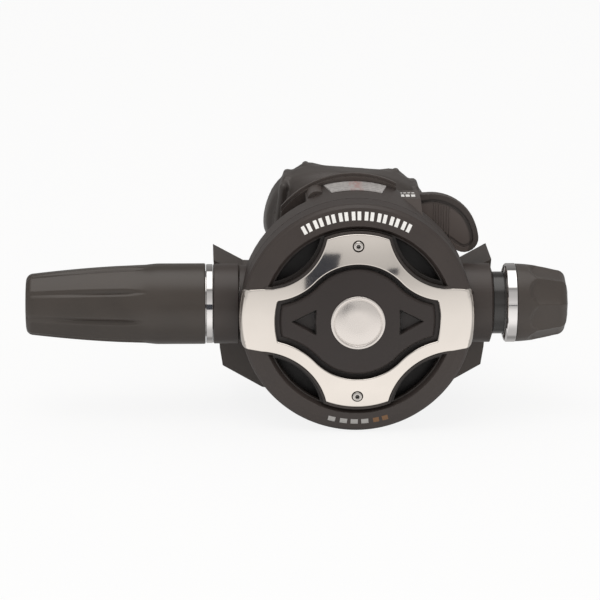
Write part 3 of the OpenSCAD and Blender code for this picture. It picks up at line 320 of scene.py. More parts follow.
def true_round(g, normal):
    """The normal of the true round, wherever a facet belongs to a surface turned about the case's axis."""
    x, _, z, _ = g.place()
    nx, ny, nz = g.parts(normal)
    outward = g.math("ADD", g.math("MULTIPLY", x, nx), g.math("MULTIPLY", z, nz))
    across = g.math("SQRT", g.math("MAXIMUM", g.math("SUBTRACT", 1.0, g.math("MULTIPLY", ny, ny)), 0.0))
    scale = g.math("DIVIDE", g.math("MULTIPLY", across, g.math("SIGN", outward)), g.length(x, z))
    turned = g.vector(g.math("MULTIPLY", x, scale), ny, g.math("MULTIPLY", z, scale))
    far, near = (math.cos(math.radians(a)) for a in (FACET_FAR, FACET_NEAR))
    return g.mix(g.step(g.dot(turned, normal), far, near), normal, turned, "VECTOR")


def port_shade(g):
    """Painted shade in the cover's water ports: everything inside the ring but outside the plate
    is painted dark, as the deep recesses lie in shadow.
    """
    x, _, z, _ = g.place()
    within = g.step(g.length(x, z), PLATE_R * MM, (PLATE_R + 2.4) * MM, 0.85, 0.0)
    corner = g.math("ABSOLUTE", g.math("MULTIPLY", x, z))
    off_arms = g.step(corner, 220 * MM * MM, 300 * MM * MM)
    return g.math("MULTIPLY", within, off_arms), (0.008, 0.0055, 0.0045, 1)


def roof_light(g):
    """Painted light: the case's roof block and crest, painted a little paler than its wall, as if lit more."""
    x, _, z, _ = g.place()
    outside = g.step(g.length(x, z), (CASE_R + 0.1) * MM, (CASE_R + 0.5) * MM)
    return g.math("MULTIPLY", outside, g.step(z, 22 * MM, 26 * MM)), (0.060, 0.047, 0.041, 1)


def panel_light(g):
    """Painted light: the dive lever's sunk panel, painted paler than its rim against the shade that falls on it."""
    x, _, z, _ = g.place()
    r = g.length(g.math("SUBTRACT", x, EAR_X * MM), g.math("SUBTRACT", z, EAR_Z * MM))
    return g.step(r, (EAR_R - 3.3) * MM, (EAR_R - 2.7) * MM, 1.0, 0.0), (0.098, 0.078, 0.070, 1)


def dent_shade(g):
    """Painted shade: the button's two triangular finger recesses, painted darker than the skin round them."""
    x, _, z, _ = g.place()
    wall = g.math("SUBTRACT", g.math("ABSOLUTE", x), DENT_IN * MM)
    slope = g.math("SUBTRACT", DENT_HALF * MM, g.math("MULTIPLY", wall, DENT_HALF / (DENT_OUT - DENT_IN)))
    side = g.math("SUBTRACT", slope, g.math("ABSOLUTE", z))
    return g.step(g.math("MINIMUM", wall, side), 0.0, 0.5 * MM, 0.0, 0.6), (0.008, 0.0055, 0.005, 1)


M = {
    "housing": surface("housing_plastic", (0.039, 0.0295, 0.0255), 0.42, grain=(3200, 0.25, 0.03), worn=0.25,
                       corner_shade=0.5, zone=roof_light, turned=True),
    "cover": surface("cover_rubber", (0.038, 0.0285, 0.0250), 0.48, grain=(3600, 0.3, 0.03), worn=0.35, bevel=0.35,
                     corner_shade=0.5, zone=port_shade, turned=True),
    "tee": surface("tee_rubber", (0.058, 0.047, 0.041), 0.5, grain=(3000, 0.25, 0.03), worn=0.2, bevel=0.4),
    "lever": surface("lever_plastic", (0.054, 0.043, 0.038), 0.45, grain=(3400, 0.25, 0.03), worn=0.3, corner_shade=0.5,
                     zone=panel_light),
    "plate": surface("polished_steel", (0.80, 0.745, 0.69), 0.075, metal=1.0, tint=0.02,
                     grain=(900, 0.03, 0.004), streaks=(1, 1, 14), bevel=0.08),
    "screw": surface("screw_steel", (0.60, 0.57, 0.54), 0.22, metal=1.0, tint=0.06,
                     grain=(5000, 0.2, 0.01), bevel=0.06, corner_shade=0.95),
    "button": surface("button_rubber", (0.0235, 0.0165, 0.0147), 0.5, grain=(4200, 0.3, 0.025), sheen=0.06,
                      bevel=0.15, corner_shade=0.9, zone=dent_shade),
    "badge": surface("satin_disc", (0.80, 0.75, 0.71), 0.28, metal=1.0, tint=0.03,
                     grain=(1400, 0.15, 0.006), streaks=(12, 1, 1), bevel=0.08),
    "white_plastic": surface("white_plastic", (0.74, 0.73, 0.69), 0.45, tint=0.04, grain=(2500, 0.1, 0.02)),
    "silicone": surface("dark_silicone", (0.013, 0.012, 0.012), 0.55, grain=(3000, 0.1, 0.02), specular=0.3),
    "spring_steel": surface("spring_wire", (0.60, 0.60, 0.62), 0.25, metal=1.0, grain=(6000, 0.2, 0.01),
                            bevel=0.05),
    "lever_steel": surface("stamped_steel", (0.62, 0.62, 0.63), 0.28, metal=1.0, grain=(2200, 0.2, 0.01),
                           streaks=(1, 9, 1)),
    "titanium": surface("turned_titanium", (0.50, 0.48, 0.46), 0.3, metal=1.0, grain=(900, 0.25, 0.01),
                        streaks=(12, 1, 1)),
    "seal": surface("seal_rubber", (0.025, 0.025, 0.026), 0.4, grain=(4000, 0.1, 0.01), bevel=0.05),
    "brass": surface("turned_brass", (0.72, 0.54, 0.25), 0.26, metal=1.0, grain=(900, 0.25, 0.01),
                     streaks=(12, 1, 1), bevel=0.12),
    "chrome": surface("chrome", (0.82, 0.80, 0.79), 0.06, metal=1.0, tint=0.02, grain=(700, 0.03, 0.004),
                      streaks=(10, 1, 1), bevel=0.06),
    "gland": surface("gloss_black_plastic", (0.020, 0.018, 0.017), 0.2, grain=(900, 0.06, 0.01),
                     streaks=(10, 1, 1), coat=0.3),
    "grip": surface("grip_rubber", (0.047, 0.037, 0.031), 0.44, grain=(3800, 0.35, 0.03), sheen=0.08, bevel=0.1,
                    corner_shade=0.4),
    "sleeve": surface("sleeve_rubber", (0.044, 0.035, 0.029), 0.36, grain=(3400, 0.2, 0.025), bevel=0.1, corner_shade=0.7),
    "mouth": surface("mouth_silicone", (0.043, 0.035, 0.031), 0.42, grain=(3000, 0.15, 0.03), sheen=0.08, bevel=0.1,
                     corner_shade=0.5),
    "white_ink": surface("white_ink", (0.86, 0.85, 0.83), 0.5, tint=0.03, grain=(6000, 0.1, 0.01), bevel=0.02),
    "silver_ink": surface("silver_ink", (0.42, 0.41, 0.40), 0.4, tint=0.05, grain=(6000, 0.2, 0.01), bevel=0.02),
    "bronze_ink": surface("bronze_ink", (0.20, 0.10, 0.04), 0.4, tint=0.05, grain=(6000, 0.2, 0.01), bevel=0.02),
}


def label_finish():
    """Silver foil with rows of grey dashes and a soft red patch."""
    mat = surface("label_foil", (0.44, 0.42, 0.41), 0.4, tint=0.05, grain=(5000, 0.15, 0.01), bevel=0.05)
    g = Graph(mat.node_tree, clear=False)
    shader = next(n for n in g.tree.nodes if n.type == "BSDF_PRINCIPLED")
    foil = shader.inputs["Base Color"].links[0].from_socket
    x, y, *_ = g.place()
    row_pitch, patch_x = 2.6 * MM, 0.5 * MM
    along = g.math("MULTIPLY", y, 1 / row_pitch)
    row = g.band(g.math("FRACT", along), 0.36, 0.62, 0.06)
    flat = g.vector(x, g.math("FLOOR", along))
    dashes = g.step(g.noise(flat, 900, 0), 0.46, 0.5)
    away = g.step(g.math("ABSOLUTE", g.math("SUBTRACT", x, patch_x)), 1.6 * MM, 2.6 * MM)
    print_share = g.math("MULTIPLY", g.math("MULTIPLY", row, dashes), g.math("MULTIPLY", away, 0.55))
    marked = g.mix(print_share, foil, (0.16, 0.15, 0.15, 1))
    red = g.math("MULTIPLY", g.step(away, 0.0, 1.0, 1.0, 0.0), g.step(g.noise(flat, 500, 2), 0.4, 0.6))
    g.put(shader.inputs["Base Color"], g.mix(g.math("MULTIPLY", red, 0.5), marked, (0.36, 0.12, 0.10, 1)))
    return mat


M["label"] = label_finish()
# nodes with a finish of their own instead of their slot's
OWN_FINISH = {"exhaust_tee": "tee", "dive_lever": "lever"}

for part in frame["record"]["subparts"]:
    mesh = nodes[part["node"]].data
    mesh.materials.clear()
    mesh.materials.append(M[OWN_FINISH.get(part["node"], part["material_slot"])])

# ---------------------------------------------------------------- building pieces


def piece(name, solid, finish, body, replaced=None, sharp=None):
    """A mesh from points in mm, in the row frame, riding on a body; edges over sharp degrees stay crisp."""
    mesh = bpy.data.meshes.new(name)
    mesh.from_pydata([tuple(c * MM for c in v) for v in solid[0]], [], solid[1])
    bm = bmesh.new()
    bm.from_mesh(mesh)
    bmesh.ops.recalc_face_normals(bm, faces=bm.faces)
    bm.to_mesh(mesh)
    bm.free()
    mesh.shade_smooth()
    if sharp:
        mesh.set_sharp_from_angle(angle=math.radians(sharp))
    mesh.materials.append(M[finish])
    o = bpy.data.objects.new(name, mesh)
    scene.collection.objects.link(o)
    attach(o, body)
    if replaced:
        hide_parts(replaced)
    return o


def bake(o):
    """The object's modifiers applied to its mesh."""
    done = bpy.data.meshes.new_from_object(o.evaluated_get(bpy.context.evaluated_depsgraph_get()))
    o.modifiers.clear()
    o.data = done
    done.shade_smooth()


def joined(solids):
    """Several solids as one."""
    verts, faces = [], []
    for v, f in solids:
        faces += [tuple(i + len(verts) for i in face) for face in f]
        verts += v
    return verts, faces


def skin(rings, closed=True):
    """A solid over rings of points: closed joins the last ring to the first, else the ends get caps."""
    n, m = len(rings), len(rings[0])
    faces = [(k * m + i, k * m + (i + 1) % m, ((k + 1) % n) * m + (i + 1) % m, ((k + 1) % n) * m + i)
             for k in range(n if closed else n - 1) for i in range(m)]
    if not closed:
        faces += [tuple(range(m - 1, -1, -1)), tuple(range((n - 1) * m, n * m))]
    return [p for ring in rings for p in ring], faces


def refine(profile, gap):
    """The profile's points with more between them, so that no step is longer than gap."""
    out = []
    for a, b in zip(profile, profile[1:] + profile[:1]):
        k = max(1, int(math.dist(a, b) / gap))
        out += [tuple(a[i] + (b[i] - a[i]) * j / k for i in (0, 1)) for j in range(k)]
    return out


def lathe(profile, axis, segments=128, shape=None, centre=(0, 0)):
    """A closed profile of (radius, station) turned about X, or about Y through centre (x, z);
    shape(r, station, angle) gives the radius."""
    rings = []
    for r, s in profile:
        ring = []
        for i in range(segments):
            a = 2 * math.pi * i / segments
            q = shape(r, s, a) if shape else r
            u, v = q * math.cos(a), q * math.sin(a)
            ring.append((s, -u, v) if axis == "x" else (centre[0] + u, s, centre[1] + v))
        rings.append(ring)
    return skin(rings)


def box(x0, x1, y0, y1, z0, z1):
    """A block between two corners."""
    verts = [(x, y, z) for z in (z0, z1) for x, y in ((x0, y0), (x1, y0), (x1, y1), (x0, y1))]
    return verts, [(3, 2, 1, 0), (4, 5, 6, 7), (0, 1, 5, 4), (1, 2, 6, 5), (2, 3, 7, 6), (3, 0, 4, 7)]


def soft_min(a, b, k):
    """The smaller of two values, rounded off where they are within k of each other."""
    h = max(k - abs(a - b), 0) / k
    return min(a, b) - h * h * k / 4


def ease(t):
    """t held between 0 and 1, with a soft start and end."""
    t = min(1.0, max(0.0, t))
    return t * t * (3 - 2 * t)


def reach(inside, low, high):
    """How far a ray goes while inside(distance) holds."""
    for _ in range(26):
        mid = (low + high) / 2
        low, high = (mid, high) if inside(mid) else (low, mid)
    return low


# ---------------------------------------------------------------- hose sleeve and swivel nut

SLEEVE_X, SLEEVE_END, SLEEVE_R, SLEEVE_TIP = -47.94, -105.44, 12.97, 9.9
SLEEVE_ROUND, SLEEVE_WAIST, NUT_BORE, HOSE_R = 2.4, -68.14, 10.6, 6.4
FLANK = SLEEVE_R - 0.4
FLUTES, FLUTE_TURN, FLUTE_END = 8, math.radians(30.5), -65.5
# stations of the sleeve's bore: the end of the nut's pocket, the end of its cone, the step to the hose's size
POCKET_END, CONE_END, HOSE_STEP = -60.8, -64.6, -84.96


def sleeve_side(x):
    """The sleeve's radius at station x, before its flutes."""
    if x < SLEEVE_WAIST:
        share = (SLEEVE_WAIST - x) / (SLEEVE_WAIST - SLEEVE_END - SLEEVE_ROUND)
        return FLANK - (FLANK - SLEEVE_TIP) * share ** 1.6
    return FLANK + (SLEEVE_R - FLANK) * ease((x - SLEEVE_WAIST) / 5.3)


def fluted(r, x, a):
    """Flattened panels with a groove between them; both run out towards the case."""
    if r < HOSE_R + 1 or x > FLUTE_END:
        return r
    fade = ease((FLUTE_END - x) / 9)
    pitch = 2 * math.pi / FLUTES
    off = (a - FLUTE_TURN + pitch / 2) % pitch - pitch / 2
    panel = r * math.cos(pitch / 2) / math.cos(pitch / 2 - abs(off)) - r
    width = 0.7 + 0.6 * fade
    groove = max(0.0, 1 - abs(off) * r / width) ** 1.2
    depth = 0.5 + 0.6 * ease((x - SLEEVE_END) / 26)
    return r + fade * (0.62 * panel + 0.38 - depth * groove)


def build_sleeve():
    """The fluted rubber sleeve, with its bore."""
    outer = [(SLEEVE_TIP - SLEEVE_ROUND + SLEEVE_ROUND * math.cos(math.radians(a)),
              SLEEVE_END + SLEEVE_ROUND - SLEEVE_ROUND * math.sin(math.radians(a))) for a in range(90, 0, -10)]
    x0, x1, steps = SLEEVE_END + SLEEVE_ROUND, SLEEVE_X - 0.4, 72
    outer += [(sleeve_side(x), x) for x in (x0 + (x1 - x0) * i / steps for i in range(steps + 1))]
    outer += [(SLEEVE_R - 0.12, SLEEVE_X - 0.12), (SLEEVE_R - 0.4, SLEEVE_X)]
    inner = [(NUT_BORE, SLEEVE_X), (NUT_BORE, POCKET_END), (HOSE_R + 0.5, CONE_END), (HOSE_R + 0.5, HOSE_STEP),
             (HOSE_R, HOSE_STEP), (HOSE_R, SLEEVE_END + 0.6), (HOSE_R + 0.18, SLEEVE_END + 0.18),
             (HOSE_R + 0.6, SLEEVE_END)]
    piece("sleeve_skin", lathe(outer + inner, "x", 320, fluted), "sleeve", "sleeve", "hose_sleeve", 50)


NUT_X, NUT_R, NUT_FLANGE, NUT_BODY_R, NUT_END = -45.6, 12.7, 2.1, 10.5, -59.8


def build_nut():
    """The swivel nut: its chromed flange in sight, its body in the sleeve."""
    inlet_r, neck_r, shoulder = 7.15, 5.3, -57.8
    face, back, edge = NUT_X - 0.05, NUT_X - NUT_FLANGE, 0.14
    profile = [(inlet_r, face), (NUT_R - edge, face), (NUT_R, face - edge), (NUT_R, back + edge),
               (NUT_R - edge, back), (NUT_BODY_R, back), (NUT_BODY_R, NUT_END + 0.5),
               (NUT_BODY_R - 0.5, NUT_END), (neck_r, NUT_END), (neck_r, shoulder), (inlet_r, shoulder)]
    piece("nut_skin", lathe(profile, "x", 256), "chrome", "hose_end", "swivel_nut", 12)


# ---------------------------------------------------------------- knob

KNOB_X, KNOB_R, KNOB_RING_LEN, KNOB_END = 47.7, 12.7, 3.9, 68.5
GRIP_X, GRIP_ROOT, GRIP_TIP, GRIP_ROUND = 51.65, 12.55, 10.7, 3.0
CORE_X, CORE_END, CORE_R, KNOB_BORE = 53.1, 62.9, 8.6, 10.3
FLATS, FLAT_TURN, FLAT_START, FLAT_SINK = 8, math.radians(90 - 13), 55.4, 0.22


def flatted(r, x, a):
    """Flats that start with a step and meet in arrises on the grip's own surface."""
    if r < 5 or x < FLAT_START:
        return r
    pitch = 2 * math.pi / FLATS
    off = (a - FLAT_TURN + pitch / 2) % pitch - pitch / 2
    share = 2 * abs(off) / pitch
    cut = r * (1 - math.cos(pitch / 2) / math.cos(off)) + FLAT_SINK * (1 - share ** 4)
    start = FLAT_START + 2.6 * share ** 2
    return r - cut * ease((x - start) / 1.5)


def build_knob():
    """The soft grip, and the chromed ring in front of it."""
    side_end, steps = KNOB_END - GRIP_ROUND - 1.2, 60
    outer = [(KNOB_BORE, GRIP_X), (GRIP_ROOT - 0.2, GRIP_X), (GRIP_ROOT, GRIP_X + 0.2)]
    for i in range(1, steps + 1):
        x = GRIP_X + (side_end - GRIP_X) * i / steps
        share = (x - GRIP_X) / (side_end - 0.2 - GRIP_X)
        outer.append((GRIP_ROOT - (GRIP_ROOT - GRIP_TIP) * share ** 1.7, x))
    for a in range(8, 88, 8):
        outer.append((GRIP_TIP - GRIP_ROUND - 0.2 + GRIP_ROUND * math.cos(math.radians(a)),
                      KNOB_END - GRIP_ROUND - 0.6 + GRIP_ROUND * math.sin(math.radians(a))))
    outer += [(7.2, KNOB_END - 0.48), (5.15, KNOB_END - 0.12), (2.5, KNOB_END - 0.02), (0.01, KNOB_END)]
    inner = [(0.01, CORE_END + 1.65), (2.65, CORE_END + 1.65), (2.65, CORE_END + 0.05),
             (CORE_R + 0.05, CORE_END + 0.05), (CORE_R + 0.05, CORE_X - 0.05), (KNOB_BORE, CORE_X - 0.05)]
    piece("grip_skin", lathe(outer + inner, "x", 288, flatted), "grip", "knob", "knob_grip", 50)
    end = KNOB_X + KNOB_RING_LEN
    ring = [(KNOB_BORE, KNOB_X), (KNOB_R - 1.9, KNOB_X), (KNOB_R - 0.5, KNOB_X + 0.45),
            (KNOB_R - 0.12, KNOB_X + 0.85), (KNOB_R, KNOB_X + 1.05), (KNOB_R, end - 0.12),
            (KNOB_R - 0.12, end), (KNOB_BORE, end)]
    piece("knob_ring_skin", lathe(ring, "x", 256), "chrome", "knob", "knob_ring", 12)


# ---------------------------------------------------------------- cover plate, screws

DOME_FRONT, DOME_R = 27.1, 116.0
CUT_R, CUT_ARM_R, CUT_BLEND_R, BLEND_A = 18.6, 26.1, 21.0, math.radians(43.5)
RECESS_R, ARM_HALF, ARM_TAPER, RECESS_CURVE = 30.2, 10.2, 1.0, 20.8
RECESS_Z, PLATE_END, ARM_CORNER = ARM_HALF + RECESS_CURVE, CASE_R + 0.5, 1.0
# how far in from the edge the plate's inner rings stop: beside the arms, and on the arms that bend back
PLAIN_INSET, BENT_INSET, BENT_SPREAD = 0.5, 1.9, math.radians(2.2)
SCREW_Z, SCREW_R, SCREW_HOLE, SOCKET_EDGE = 24.4, 1.55, 1.85, 0.9


def dome_y(r):
    """The y of the dome's front at radius r."""
    return -DOME_FRONT + r * r / (2 * DOME_R)


def cut_radius(a, grow):
    """Distance from the middle to the plate's cut-out, grown by grow, in the direction a."""
    far = CUT_R + CUT_BLEND_R
    cx, cz = far * math.cos(BLEND_A), far * math.sin(BLEND_A)
    c, s = abs(math.cos(a)), abs(math.sin(a))

    def inside(r):
        x, z = r * c, r * s
        if r > CUT_R + grow and not (r < CUT_ARM_R + grow and z < CUT_R * math.sin(BLEND_A)):
            return False
        return math.hypot(x - cx, z - cz) > CUT_BLEND_R - grow

    return reach(inside, 5.0, CUT_ARM_R + 3)


def plate_radius(a, grow):
    """Distance from the middle to the plate's outline, grown by grow, in the direction a."""
    c, s = abs(math.cos(a)), abs(math.sin(a))

    def inside(r):
        x, z = r * c, r * s
        if math.hypot(x - RECESS_R, z - RECESS_Z) < RECESS_CURVE - grow:
            return False
        taper = ARM_TAPER * max(0.0, x - RECESS_R) / (CASE_R + 2 - RECESS_R)
        corner = min(ARM_CORNER, max(0.0, r - PLATE_END - grow + ARM_CORNER))
        half = ARM_HALF + grow - taper - ARM_CORNER + math.sqrt(ARM_CORNER ** 2 - corner ** 2)
        on_arm = z < half or (x < RECESS_R and z < ARM_HALF + 2)
        return r <= PLATE_R + grow or (on_arm and r < PLATE_END + grow)

    return reach(inside, 5.0, CASE_R + 1)


def bend(r):
    """How far the plate has turned back behind its dome at radius r; only the long arms reach that far."""
    # (distance in from the arm's end, depth behind the dome)
    turn = [(1.75, 0), (1.6, 0.06), (0.95, 0.62), (0.45, 1.2), (0.12, 1.9), (0, 2.5)]
    inset = max(0.0, PLATE_END - r)
    for (i0, d0), (i1, d1) in zip(turn, turn[1:]):
        if i1 <= inset <= i0:
            return d0 + (d1 - d0) * (i0 - inset) / (i0 - i1)
    return 0.0


def build_plate():
    """The domed plate with chamfered edges, its long arms bent back over the cover's rim."""
    count, steps = 900, 30
    angles = [2 * math.pi * i / count for i in range(count)]
    # each pair is (distance in from the edge, depth behind the dome and its bend)
    hole_edge = [(0.0, 0.88), (0.0, 0.5), (0.02, 0.36), (0.3, 0.03), (0.4, 0.0)]
    plain_edge = [(0.42, 0), (0.3, 0.02), (0.16, 0.1), (0.06, 0.2), (0.01, 0.32), (0, 0.45), (0, 0.7), (0.02, 0.83),
                  (0.08, 0.89), (0.2, 0.9), (0.35, 0.9), (0.5, 0.9)]
    bent_edge = [(1.75, 0), (1.6, 0), (0.95, 0), (0.45, 0), (0.12, 0), (0, 0), (0, 1.4), (0.08, 1.88),
                 (0.57, 2.92), (0.65, 2.93), (0.7, 1.69), (1.9, 0.95)]
    # how far each direction's edge is bent back: 0 beside the arms, rising to 1 just inside their corners
    lean = [math.atan2(abs(math.sin(a)), abs(math.cos(a))) for a in angles]
    corner = max(t for a, t in zip(angles, lean) if plate_radius(a, 0) > PLATE_END - 0.01)
    bent = [ease((corner - t) / BENT_SPREAD) for t in lean]

    def ring(radii, depths):
        return [(r * math.cos(a), dome_y(r) + bend(r) + d, r * math.sin(a)) for a, r, d in zip(angles, radii, depths)]

    rings = [ring([cut_radius(a, g) for a in angles], [d] * count) for g, d in hole_edge]
    start = [cut_radius(a, 0.5) for a in angles]
    stop = [plate_radius(a, -PLAIN_INSET - (BENT_INSET - PLAIN_INSET) * b) for a, b in zip(angles, bent)]
    for k in range(steps + 1):
        rings.append(ring([p + (q - p) * k / steps for p, q in zip(start, stop)], [0.0] * count))
    for plain, arm in zip(plain_edge, bent_edge):
        pairs = [[p + (q - p) * b for p, q in zip(plain, arm)] for b in bent]
        rings.append(ring([plate_radius(a, -p[0]) for a, p in zip(angles, pairs)], [p[1] for p in pairs]))
    o = piece("plate_skin", skin(rings), "plate", "case", "cover_plate")
    hole = [(0.01, -30), (SCREW_HOLE, -30), (SCREW_HOLE, -20), (0.01, -20)]
    drills = [lathe(hole, "y", 64, centre=(0, z)) for z in (-SCREW_Z, SCREW_Z)]
    cutter = piece("cutter", joined(drills), "plate", "case")
    holes = o.modifiers.new("holes", "BOOLEAN")
    holes.object, holes.operation, holes.solver = cutter, "DIFFERENCE", "EXACT"
    bake(o)
    bpy.data.objects.remove(cutter)
    o.data.set_sharp_from_angle(angle=math.radians(38))


def hexed(r, _, a):
    """A hexagon for the socket, a circle outside it."""
    return r if r > SOCKET_EDGE else r * math.cos(math.pi / 6) / math.cos(a % (math.pi / 3) - math.pi / 6)


def build_screws():
    """Both screw heads; crown is the y of their front."""
    crown = -25.0
    profile = [(0.01, crown + 1.3), (0.7, crown + 1.3), (0.72, crown + 0.1), (0.92, crown), (1.15, crown + 0.02),
               (1.38, crown + 0.14), (1.52, crown + 0.36), (SCREW_R, crown + 0.6), (SCREW_R, crown + 0.82),
               (1.0, crown + 0.82), (1.0, crown + 4.0), (0.01, crown + 4.0)]
    heads = [lathe(profile, "y", 72, hexed, (0, z)) for z in (-SCREW_Z, SCREW_Z)]
    piece("screw_heads", joined(heads), "screw", "case", "cover_screws", 35)


# ---------------------------------------------------------------- purge button and its disc

BUTTON_GAP, BUTTON_DROP, BADGE_R = 1.45, 0.9, 8.6
FLANGE_Y, FLANGE_T, FLANGE_W, PAD_R, PAD_Y = -21.4, 1.2, 1.2, 9.0, -19.65
DENT_DEPTH = 2.2


def dent(x, z):
    """Depth of a finger recess: a triangle that points outwards, deepest along its upright side."""
    wall, rim = abs(x) - DENT_IN, 0.45
    out = wall / (DENT_OUT - DENT_IN)
    side = (DENT_HALF * (1 - out) - abs(z)) * 0.88
    edge = min(side, wall * 1.4)
    if edge < -rim:
        return 0.0
    if edge < 0:
        return -0.07 * math.sin(math.pi * (edge + rim) / rim)
    floor = DENT_DEPTH * (1 - 0.4 * max(0, out))
    return soft_min(soft_min(floor, side * 3.2, 0.3), wall * 6, 0.2)


def build_button():
    """The button's flange, its rim, its domed skin with the finger recesses, the disc's seat and the pad."""
    count = 420
    angles = [2 * math.pi * i / count for i in range(count)]

    def outline(grow, depth, domed=True):
        """A ring along the cut-out grown by grow: depth behind the dome, or at y = depth."""
        radii = [cut_radius(a, grow) for a in angles]
        return [(r * math.cos(a), dome_y(r) + depth if domed else depth, r * math.sin(a))
                for a, r in zip(angles, radii)]

    rings = [outline(FLANGE_W, FLANGE_Y, False), outline(FLANGE_W, FLANGE_Y - FLANGE_T, False),
             outline(-BUTTON_GAP, FLANGE_Y - FLANGE_T, False)]
    for grow, depth in ((0, 1.95), (0.03, 1.62), (0.12, 1.44), (0.3, 1.3), (0.66, 1.02), (0.82, 0.93), (1.05, 0.9)):
        rings.append(outline(-BUTTON_GAP - grow, depth))
    edge = [cut_radius(a, -BUTTON_GAP - 1.05) for a in angles]
    steps = 76
    for k in range(1, steps + 1):
        ring = []
        for a, e in zip(angles, edge):
            r = e + (BADGE_R + 0.05 - e) * k / steps
            x, z = r * math.cos(a), r * math.sin(a)
            ring.append((x, dome_y(r) + BUTTON_DROP + dent(x, z), z))
        rings.append(ring)
    seat = -DOME_FRONT + BUTTON_DROP + 0.55
    for r, y in ((BADGE_R + 0.05, seat), (0.01, seat), (0.01, PAD_Y), (PAD_R, PAD_Y), (PAD_R, FLANGE_Y)):
        rings.append([(r * math.cos(a), y, r * math.sin(a)) for a in angles])
    piece("button_skin", skin(rings), "button", "button", "purge_button", 45)


def build_badge():
    """A plain turned disc: a low crown, a groove and a rounded rim."""
    front = -DOME_FRONT + BUTTON_DROP - 0.1
    profile = [(0.01, front - 0.06), (3, front - 0.05), (7.0, front + 0.02), (7.15, front + 0.1), (7.3, front + 0.22),
               (7.5, front + 0.22), (7.62, front + 0.08), (7.75, front), (8.3, front + 0.01), (8.5, front + 0.1),
               (BADGE_R, front + 0.25), (BADGE_R, front + 0.6), (0.01, front + 0.6)]
    piece("badge_skin", lathe(profile, "y", 192), "badge", "button", "button_badge", 35)


# ---------------------------------------------------------------- printed marks and ribs

# the cover's front face, as (radius, y)
RING_FACE = [(30.5, -22.67), (33.6, -21.78), (35.99, -20.76)]
# in degrees: the middle of the cover's upper marks, the step from pair to pair, and half the step in a pair
TICKS_AT, TICK_PITCH, TICK_HALF = 91, 6.94, 1.55
# the z of the roof block's top
BLOCK_TOP = 33.7


def ring_face(r):
    """The y of the cover's front face at radius r."""
    (r0, y0), (r1, y1) = RING_FACE[:2] if r < RING_FACE[1][0] else RING_FACE[1:]
    return y0 + (y1 - y0) * (r - r0) / (r1 - r0)


def ring_bars(name, spans, finish):
    """Bars printed on the cover's face; a span is (angle of its middle, width in mm, inner and outer radius)."""
    across, along, bars, faces = 4, 8, [], []
    row, sheet = across + 1, (across + 1) * (along + 1)
    for j in range(along):
        for i in range(across):
            q = j * row + i
            faces.append((q, q + 1, q + row + 1, q + row))
            faces.append((q + sheet, q + sheet + row, q + sheet + row + 1, q + sheet + 1))
    rim = (list(range(across)) + [j * row + across for j in range(along)]
           + [along * row + i for i in range(across, 0, -1)] + [j * row for j in range(along, 0, -1)])
    faces += [(p, q, q + sheet, p + sheet) for p, q in zip(rim, rim[1:] + rim[:1])]
    for mid, width, r0, r1 in spans:
        verts = []
        for lift in (0.04, -0.05):
            for j in range(along + 1):
                r = r0 + (r1 - r0) * j / along
                for i in range(across + 1):
                    a = math.radians(mid) + width * (i / across - 0.5) / r
                    verts.append((r * math.cos(a), ring_face(r) - lift, r * math.sin(a)))
        bars.append((verts, faces))
    piece(name, joined(bars), finish, "case", sharp=40)


def build_marks():
    """Plain bars in the places of the printed words, on the cover and on the roof block."""
    pairs = [TICKS_AT + (i - 4) * TICK_PITCH for i in range(9)]
    upper = [(mid + side * TICK_HALF, 1.15, 32.3, 34.9) for mid in pairs for side in (-1, 1)]
    ring_bars("cover_ticks", upper, "white_ink")
    # below, the last two of the row are bronze
    ring_bars("lower_ticks", [(a, 2.3, 32.6, 34.2) for a in (-103.9, -97.3, -91.4, -85.6)], "silver_ink")
    ring_bars("lower_ticks_2", [(a, 1.9, 32.6, 34.2) for a in (-79.4, -74.4)], "bronze_ink")
    rows = [(13.5 + 1.3 * i, 14.4 + 1.3 * i, 11.0, 12.0) for i in range(5)]
    rows += [(13.1 + 1.75 * i, 14.4 + 1.75 * i, 5.8, 9.0) for i in range(4)]
    marks = [box(x0, x1, y0, y1, BLOCK_TOP - 0.04, BLOCK_TOP + 0.04) for x0, x1, y0, y1 in rows]
    piece("block_marks", joined(marks), "white_ink", "case", sharp=40)


# the y of the dive lever's sunk face; how many ribs stand on it, the first one's x, and their pitch
EAR_FACE = 16.8
RIBS, RIB_X, RIB_PITCH = 7, 26.4, 0.85


def build_ribs():
    """Upright grip ribs on the dive lever's sunk face."""
    back, front = EAR_FACE + 0.1, EAR_FACE - 0.18
    ribs = []
    for i in range(RIBS):
        x = RIB_X + RIB_PITCH * i
        top = EAR_Z + math.sqrt((EAR_R - 3.0) ** 2 - (x - EAR_X) ** 2)
        low = 19.6 - 0.57 * (x - 25)
        # each section is (z, how much narrower than the rib)
        sections = ((low, 0.1), (low + 0.25, 0), (top - 0.25, 0), (top, 0.1))
        rings = [[(x - 0.2 + t, back, z), (x - 0.13 + t, front, z), (x + 0.13 - t, front, z),
                  (x + 0.2 - t, back, z)] for z, t in sections]
        ribs.append(skin(rings, closed=False))
    piece("lever_ribs", joined(ribs), "lever", "dive_switch", sharp=40)


# ---------------------------------------------------------------- mouthpiece

MOUTH_Z, MOUTH_R, MOUTH_FLAT, RUBBER, TUBE_WALL = 16.0, 11.0, 6.0, 2.4, 1.7
MOUTH_Y, SHIELD_GAP, SHIELD_W, SHIELD_H, BITE_LEN, SKIRT = 36.0, 9.0, 29.3, 17.4, 21.0, 9.0
SHIELD_Y, MOUTH_ROLL = MOUTH_Y + SHIELD_GAP, math.radians(4.5)
GROOVE_Y, STRAP_W, STRAP_T, STRAP_IN, SIDE_IN = 29.6, 4.4, 1.2, 0.6, 0.055


def rolled(x, z, turn):
    """The x and z of a point of the mouthpiece, turned about its middle."""
    return x * math.cos(turn) + z * math.sin(turn), MOUTH_Z + z * math.cos(turn) - x * math.sin(turn)


